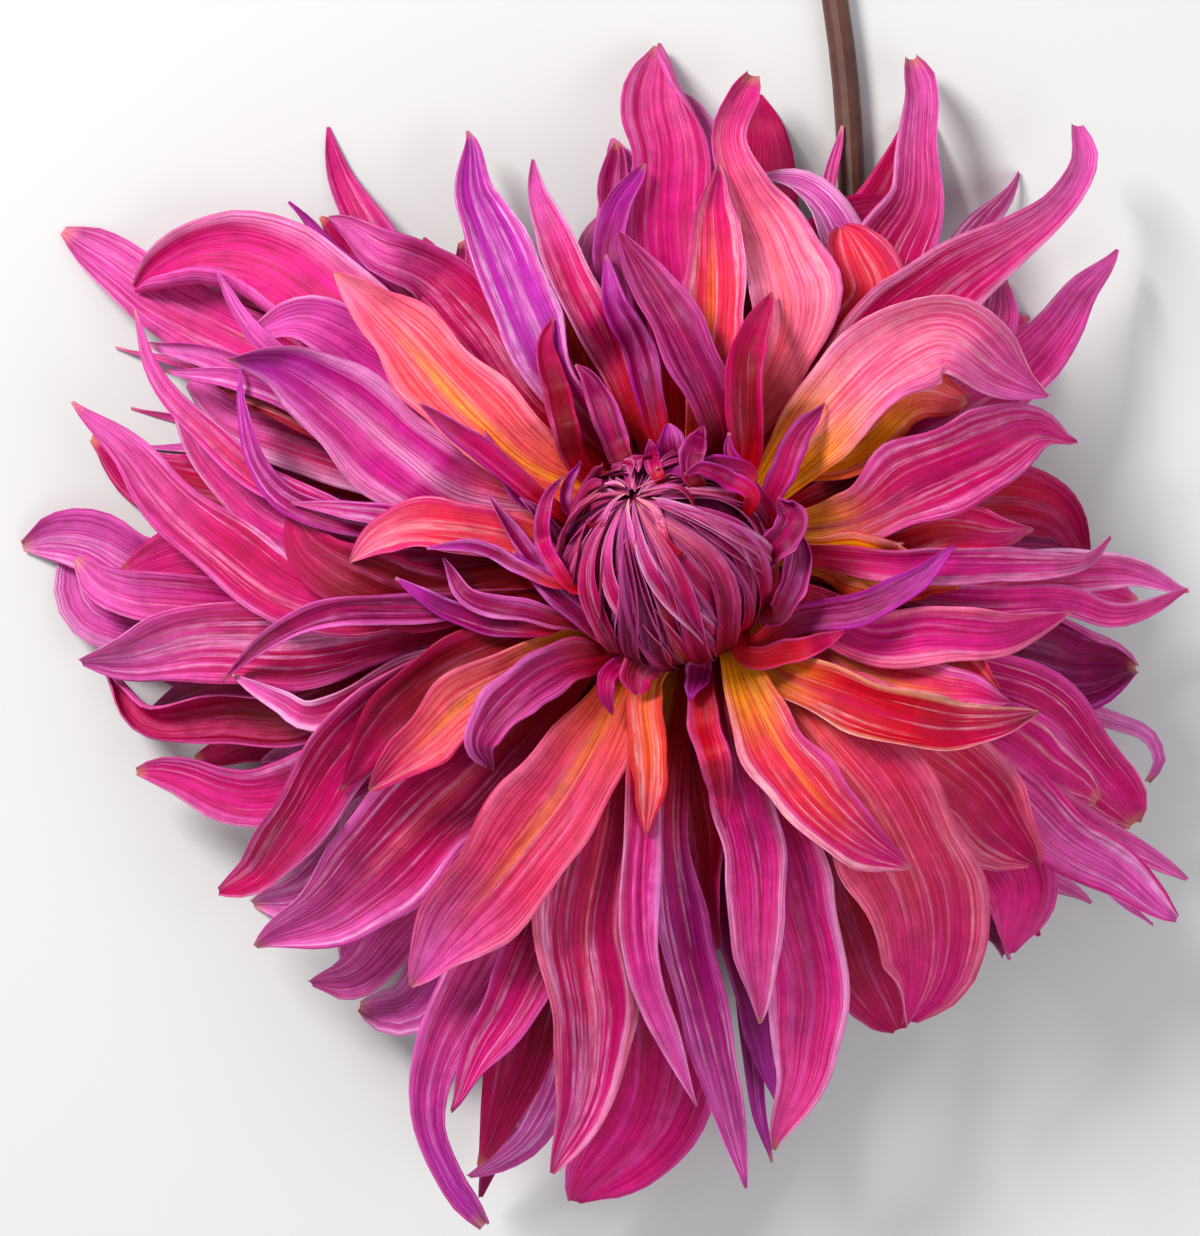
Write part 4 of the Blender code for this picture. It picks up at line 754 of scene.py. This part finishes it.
def main():
    looks = {
        "M": material("petal_magenta"),
        "P": material("petal_purple", rough=0.42, pale=(0.68, 0.16, 0.52)),
        # Crimson florets, and the fillers below: their own red darkened with painted shade.
        "C": material("petal_crimson_painted_shade", rough=0.44, pale=(0.72, 0.12, 0.36), lines=0.8),
        "S": material("petal_salmon", deepen=(0.78, 0.10, 0.30), pale=(0.95, 0.40, 0.52)),
        "Y": material("petal_yellow_base", deepen=(0.80, 0.12, 0.40), pale=(0.95, 0.42, 0.48), lines=0.9),
        "L": material("petal_lilac", rough=0.52, deepen=(0.60, 0.12, 0.50), pale=(0.90, 0.50, 0.78)),
    }
    looks["F"] = looks["C"]
    space = Map()
    for node in ("cut_stem", "involucral_bracts"):
        # What lies below the florets is read from the CAD model.
        points = []
        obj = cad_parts[node]
        co = np.empty(len(obj.data.vertices) * 3, np.float32)
        obj.data.vertices.foreach_get("co", co)
        co = co.reshape(-1, 3).astype(float) * 1000
        co[:, 0] += ORIGIN[0]
        co[:, 1] += ORIGIN[1]
        obj.data.calc_loop_triangles()
        for tri in obj.data.loop_triangles:
            p = co[list(tri.vertices)]
            k = max(2, int(np.ptp(p, axis=0).max() / 0.5))
            i, j = np.meshgrid(np.arange(k + 1), np.arange(k + 1))
            keep = i + j <= k
            u, v = i[keep, None] / k, j[keep, None] / k
            points.append(p[0] * (1 - u - v) + p[1] * u + p[2] * v)
        points = np.concatenate(points)
        # The rise of the stem under the receptacle is no obstacle to the florets above it.
        space.stamp(points[points[:, 2] < 26.5])

    bearings = bearings_of(FLORETS)
    jobs = []
    for i, (node, bearing) in enumerate(BACK_FLORETS):
        turn = math.radians(bearing)
        midrib = [(HEAD[0] + r * math.cos(turn), HEAD[1] - r * math.sin(turn)) for r in BACK_STEPS]
        jobs.append((-2, i, f"back_floret_{i + 1:02d}", node, midrib, BACK_Z, 60, "P", {}))
    for index, (name, node, layer, width, colour, text) in enumerate(FLORETS):
        turn = bearings[name]
        midrib = [(HEAD[0] + RING_STEPS * math.cos(turn), HEAD[1] + RING_STEPS * math.sin(turn))] + traced(text, layer)
        special = SPECIAL.get(name, {})
        if layer < len(WIDER):
            width *= WIDER[layer]
        jobs.append((layer, index, f"floret_{name}", node, midrib, special.get("z", LAYER_Z[layer]), width, colour, special))
    jobs += fillers()
    # Within a layer every other floret is laid first, so that the overlaps don't climb round the head.
    order = []
    for layer in sorted({job[0] for job in jobs}):
        ring = sorted((j for j in jobs if j[0] == layer), key=lambda j: math.atan2(j[4][1][1] - HEAD[1], j[4][1][0] - HEAD[0]))
        order += ring[::2] + ring[1::2]
    for layer, index, name, node, midrib, layer_z, width, colour, special in order:
        rng = random.Random(name)
        special = dict(special, slim=layer < 6)
        petal = settle(floret(name, midrib, layer_z, width, rng, special), space.spread())
        for face in petal.both():
            space.stamp(finer(face, 2))
        obj = build(petal, special.get("look", random.Random(name + " look").choice(LOOKS[colour])), looks[colour], rng)
        if node:
            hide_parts(node)
    finish_core(space, looks)


def fillers():
    """Shorter florets between the traced ones, which close the depth of the bloom."""
    tips = []
    for _, node, _, _, _, text in FLORETS:
        if node:
            x, y = (float(n) for n in text.split()[-1].split(","))
            tips.append((math.atan2(y - HEAD[1], x - HEAD[0]), math.hypot(x - HEAD[0], y - HEAD[1])))
    jobs = []
    for seed, layer, count, share, level, wide in (
        ("fillers", 0.5, 20, 0.90, 0, 84), ("more fillers", 1.5, 16, 0.78, 1, 80),
    ):
        rng = random.Random(seed)
        looks = random.Random(seed + " looks")
        for i in range(count):
            turn = 2 * math.pi * (i + rng.uniform(-0.3, 0.3)) / count - math.pi
            near = sorted(r for b, r in tips if abs((b - turn + math.pi) % (2 * math.pi) - math.pi) < 0.13)
            reach = max((near[-1] if near else 380.0) * share * rng.uniform(0.9, 1.04), 200)
            bend = rng.uniform(-0.07, 0.07)
            midrib = [
                (HEAD[0] + r * math.cos(turn + bend * k), HEAD[1] + r * math.sin(turn + bend * k))
                for k, r in enumerate((RING_STEPS + 12, 0.45 * reach, 0.75 * reach, reach))
            ]
            node = next(name for end, name in GROUP_ENDS if math.degrees(turn) < end)
            jobs.append((layer, i, f"filler_{level}_{i + 1:02d}", node if level == 0 else "", midrib, LAYER_Z[level],
                         wide * rng.uniform(0.85, 1.15), looks.choice("MFMC" if level == 0 else "FMMC"),
                         {"claw": 2.2, "thick": 0.3, "edge": (14, 14), "roll": (0, 0, 0), "ruffle": 0.5}))
    return jobs


def plain_material(name, colour, rough=0.5, second=None, scale=60.0):
    made = bpy.data.materials.new(name)
    made.use_nodes = True
    tree = made.node_tree
    shader = tree.nodes["Principled BSDF"]
    noise = tree.nodes.new("ShaderNodeTexNoise")
    noise.inputs["Scale"].default_value = scale
    noise.inputs["Detail"].default_value = 5
    coord = tree.nodes.new("ShaderNodeTexCoord")
    tree.links.new(coord.outputs["Object"], noise.inputs["Vector"])
    ramp = tree.nodes.new("ShaderNodeValToRGB")
    ramp.color_ramp.elements[0].color = (*colour, 1)
    ramp.color_ramp.elements[1].color = (*(second or tuple(c * 1.6 for c in colour)), 1)
    ramp.color_ramp.elements[0].position, ramp.color_ramp.elements[1].position = 0.35, 0.68
    tree.links.new(noise.outputs["Fac"], ramp.inputs["Fac"])
    tree.links.new(ramp.outputs["Color"], shader.inputs["Base Color"])
    shader.inputs["Roughness"].default_value = rough
    bump = tree.nodes.new("ShaderNodeBump")
    bump.inputs["Strength"].default_value = 0.3
    bump.inputs["Distance"].default_value = 0.0004
    tree.links.new(noise.outputs["Fac"], bump.inputs["Height"])
    tree.links.new(bump.outputs["Normal"], shader.inputs["Normal"])
    return made


def recolour(node, made):
    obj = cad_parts[node]
    obj.data.materials.clear()
    obj.data.materials.append(made)


def finish_core(space, looks):
    recolour("receptacle", plain_material("receptacle_tissue", (0.16, 0.18, 0.05)))
    recolour("involucral_bracts", plain_material("bract_leaf", (0.07, 0.13, 0.03), second=(0.14, 0.22, 0.06)))
    recolour("cut_stem", plain_material("stem_skin", (0.075, 0.016, 0.012), second=(0.12, 0.042, 0.027), scale=120))
    make_bud(space, looks)


class Wrap(Petal):
    """A young floret that lies along the dome of the closed centre."""

    def sheet(self):
        mid, side, out = self.frame
        t, half = self.t, self.half[:, None]
        lift = half * (self.lean * t + self.cup[:, None] * np.abs(t) ** 3) - (half * t) ** 2 / (2 * self.radius)
        return mid[:, None] + side[:, None] * (half * t)[..., None] + out[:, None] * (lift + self.relief)[..., None]

    def facing(self, normal):
        return (normal * self.frame[2][:, None]).sum(axis=2).mean()


def make_bud(space, looks):
    """The closed centre: young florets wrapped over one another towards an apex that leans to the upper left."""
    rng = random.Random("bud")
    rows, across = 22, 10
    lean = math.radians(BUD_LEAN)
    aim = np.array(BUD_AIM) / math.hypot(*BUD_AIM)
    pole = np.array([aim[0] * math.sin(lean), aim[1] * math.sin(lean), math.cos(lean)])
    over = np.array([-aim[0] * math.cos(lean), -aim[1] * math.cos(lean), math.sin(lean)])
    beside = np.array([-aim[1], aim[0], 0.0])
    radius = BUD_STEPS * SHEET_MM

    def dome(polar, turn, rise):
        """Sheet position and height on the dome, by the angle from its apex."""
        out = (np.cos(polar)[..., None] * pole + (np.sin(polar) * np.cos(turn))[..., None] * over
               + (np.sin(polar) * np.sin(turn))[..., None] * beside)
        grow = (1 + rise / radius)[..., None] if np.ndim(rise) else 1 + rise / radius
        steps = np.array(BUD) + BUD_STEPS * (out * grow)[..., :2]
        return steps, BUD_MID_Z + BUD_HIGH * (out * grow)[..., 2]

    def rim(turn, low):
        """The angle from the apex at which the dome goes down to this share of its height."""
        polar = np.linspace(0.1, 2.9, 281)
        z = np.cos(polar) * pole[2] + np.sin(polar) * math.cos(turn) * over[2]
        below = np.nonzero(z < low)[0]
        return polar[below[0]] if len(below) else 2.9

    verts, faces = [], []
    count, sides = 14, 48
    turn = np.linspace(0, 2 * math.pi, sides, endpoint=False)
    for i in range(1, count + 1):
        down = i / count * 1.75
        steps = np.array(BUD) + 0.93 * BUD_STEPS * math.sin(down) * np.stack([np.cos(turn), np.sin(turn)], axis=1)
        verts += [tuple(p) for p in place(steps, np.full(sides, BUD_MID_Z + 0.93 * BUD_HIGH * math.cos(down)))]
    verts.append(tuple(place(np.array(BUD), np.float64(BUD_MID_Z + 0.93 * BUD_HIGH))))
    apex = len(verts) - 1
    low = np.array(verts[(count - 1) * sides : count * sides]).mean(axis=0)
    verts.append((low[0], low[1], low[2] - 0.5))
    under = len(verts) - 1
    for j in range(sides):
        k = (j + 1) % sides
        faces.append((apex, j, k))
        for i in range(count - 1):
            faces.append((i * sides + j, (i + 1) * sides + j, (i + 1) * sides + k, i * sides + k))
        faces.append((under, (count - 1) * sides + k, (count - 1) * sides + j))
    mesh = bpy.data.meshes.new("bud_core")
    mesh.from_pydata([tuple(p) for p in to_row(np.array(verts))], [], faces)
    mesh.flip_normals()
    mesh.update()
    mesh.shade_smooth()
    mesh.materials.append(plain_material("bud_core_tissue", (0.16, 0.004, 0.05), second=(0.26, 0.01, 0.08), scale=300))
    core = bpy.data.objects.new("bud_core", mesh)
    bpy.context.scene.collection.objects.link(core)
    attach(core, "root")
    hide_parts("centre_bud")

    bud = material("petal_bud", rough=0.45, vein=0.7, deepen=(0.55, 0.05, 0.25), pale=(0.78, 0.28, 0.56), lines=0.8)
    # Florets, spread of their bearings, how near the apex they end, how far they stand off, width, how loose the tips are.
    plan = (
        (30, (-math.pi, math.pi), (0.03, 0.22), (0.0, 0.3), 30, (0.0, 0.3)),
        (15, (-math.pi, math.pi), (0.04, 0.50), (0.7, 1.1), 34, (0.1, 0.9)),
        (7, (-0.9, 0.9), (0.05, 0.35), (1.3, 1.6), 36, (0.0, 0.5)),
        (9, (1.7, 4.6), (0.16, 0.55), (1.3, 1.9), 32, (1.2, 3.2)),
        (7, (-math.pi, math.pi), (0.02, 0.10), (1.5, 1.9), 44, (0.0, 0.7)),
    )
    number = 0
    for florets, (first, last), near, stand, share, loose in plan:
        for i in range(florets):
            number += 1
            start = first + (last - first) * (i + 0.5 + rng.uniform(-0.3, 0.3)) / florets
            s = np.linspace(0, 1, rows + 1)
            from_rim = rim(start, -0.3) if share < 40 else rng.uniform(0.5, 0.9)
            polar = from_rim * (1 - s) + rng.uniform(*near) * s
            turn = start + rng.uniform(-0.02, 0.34) * np.sin(math.pi * s) + rng.uniform(-0.16, 0.16) * np.sin(2 * math.pi * s)
            rise = rng.uniform(*stand) + rng.uniform(*loose) * s**3 + 0.5 * np.sin(math.pi * s) * rng.uniform(0, 1)
            steps, z = dome(polar, turn, rise)
            half = radius * math.pi / share * rng.uniform(0.8, 1.3) * np.maximum(np.sin(polar), 0.13) ** 0.75
            half = half * np.interp(s, (0, 0.25, 0.6, 0.85, 0.95, 1), (0.9, 1.15, 1.2, 1.0, 0.7, 0.15))
            petal = Wrap(f"bud_floret_{number:02d}", steps, z, half, (0 * s, 0 * s), 0 * s, rng, rows, across, thick=0.3, ruffle=0.7)
            mid = place(steps, z)
            side = place(*dome(polar, turn + 0.02, rise)) - mid
            side /= np.maximum(np.linalg.norm(side, axis=1, keepdims=True), 1e-9)
            along = np.gradient(mid, axis=0)
            out = np.cross(along, side)
            out /= np.maximum(np.linalg.norm(out, axis=1, keepdims=True), 1e-9)
            centre = place(np.array(BUD), np.float64(BUD_MID_Z))
            if ((mid - centre) * out).sum() < 0:
                out = -out
            petal.frame, petal.radius = (mid, side, out), radius
            petal.lean = rng.choice((-1, 1)) * rng.uniform(0.06, 0.26)
            petal.cup = np.interp(s, (0, 0.4, 1), (0.15, 0.45, 0.8)) * rng.uniform(0.5, 1.3)
            # The dark midrib streaks, Z and C, are painted shade in the grooves along the bud's florets.
            look = rng.choice(("RDO/L/P/O", "CDO/O/C/O", "CPL/L/C/O", "RPO/L/P/O", "CDN/O/Z/O", "CPP/L/Z/O"))
            if abs(start + 0.3) < 0.14:
                look = "GRP/O/P/O"
            petal.shade = rng.uniform(0.58, 0.88)
            if share > 40:
                look, petal.shade = rng.choice(("POK/L/P/O", "PLK/W/P/O", "DNK/L/P/N")), 1.0
            elif number % 4 == 0:
                look, petal.shade = "RDL/W/P/L", 0.9
            obj = build(petal, look, bud, rng)
            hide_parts("centre_bud")


def lights_and_camera():
    scene = bpy.context.scene
    world = bpy.data.worlds.new("studio")
    scene.world = world
    world.use_nodes = True
    background = world.node_tree.nodes["Background"]
    background.inputs["Color"].default_value = (0.93, 0.96, 1.0, 1)
    background.inputs["Strength"].default_value = 0.43

    def area(name, size, power, place_at, aim, colour=(1, 1, 1)):
        data = bpy.data.lights.new(name, "AREA")
        data.shape, data.size, data.energy, data.color = "DISK", size, power, colour
        lamp = bpy.data.objects.new(name, data)
        lamp.location = place_at
        from mathutils import Vector
        lamp.rotation_euler = (Vector(aim) - Vector(place_at)).to_track_quat("-Z", "Y").to_euler()
        scene.collection.objects.link(lamp)

    area("key", 0.4, 14.5, (-0.62, 0.60, 0.80), (0, -0.04, 0.03), (1.0, 0.98, 0.95))
    area("fill", 0.9, 4.6, (0.7, -0.5, 0.8), (0, -0.04, 0.03), (0.95, 0.97, 1.0))
    data = bpy.data.cameras.new("camera")
    data.sensor_width = 36.0
    data.lens = 36.0 * (EYE_HEIGHT - Z_REF) / (1236 * SHEET_MM)
    camera = bpy.data.objects.new("camera", data)
    camera.location = (-ORIGIN[0] / 1000, -ORIGIN[1] / 1000, EYE_HEIGHT / 1000)
    camera.rotation_euler = (0, 0, 0)
    scene.collection.objects.link(camera)
    scene.camera = camera
    scene.view_settings.view_transform = "Standard"

    mesh = bpy.data.meshes.new("floor")
    mesh.from_pydata([(-3, -3, 0), (3, -3, 0), (3, 3, 0), (-3, 3, 0)], [], [(0, 1, 2, 3)])
    mesh.update()
    floor = bpy.data.objects.new("floor", mesh)
    made = bpy.data.materials.new("pale_floor")
    made.use_nodes = True
    made.node_tree.nodes["Principled BSDF"].inputs["Base Color"].default_value = (0.72, 0.72, 0.71, 1)
    made.node_tree.nodes["Principled BSDF"].inputs["Roughness"].default_value = 0.8
    mesh.materials.append(made)
    scene.collection.objects.link(floor)


main()
lights_and_camera()
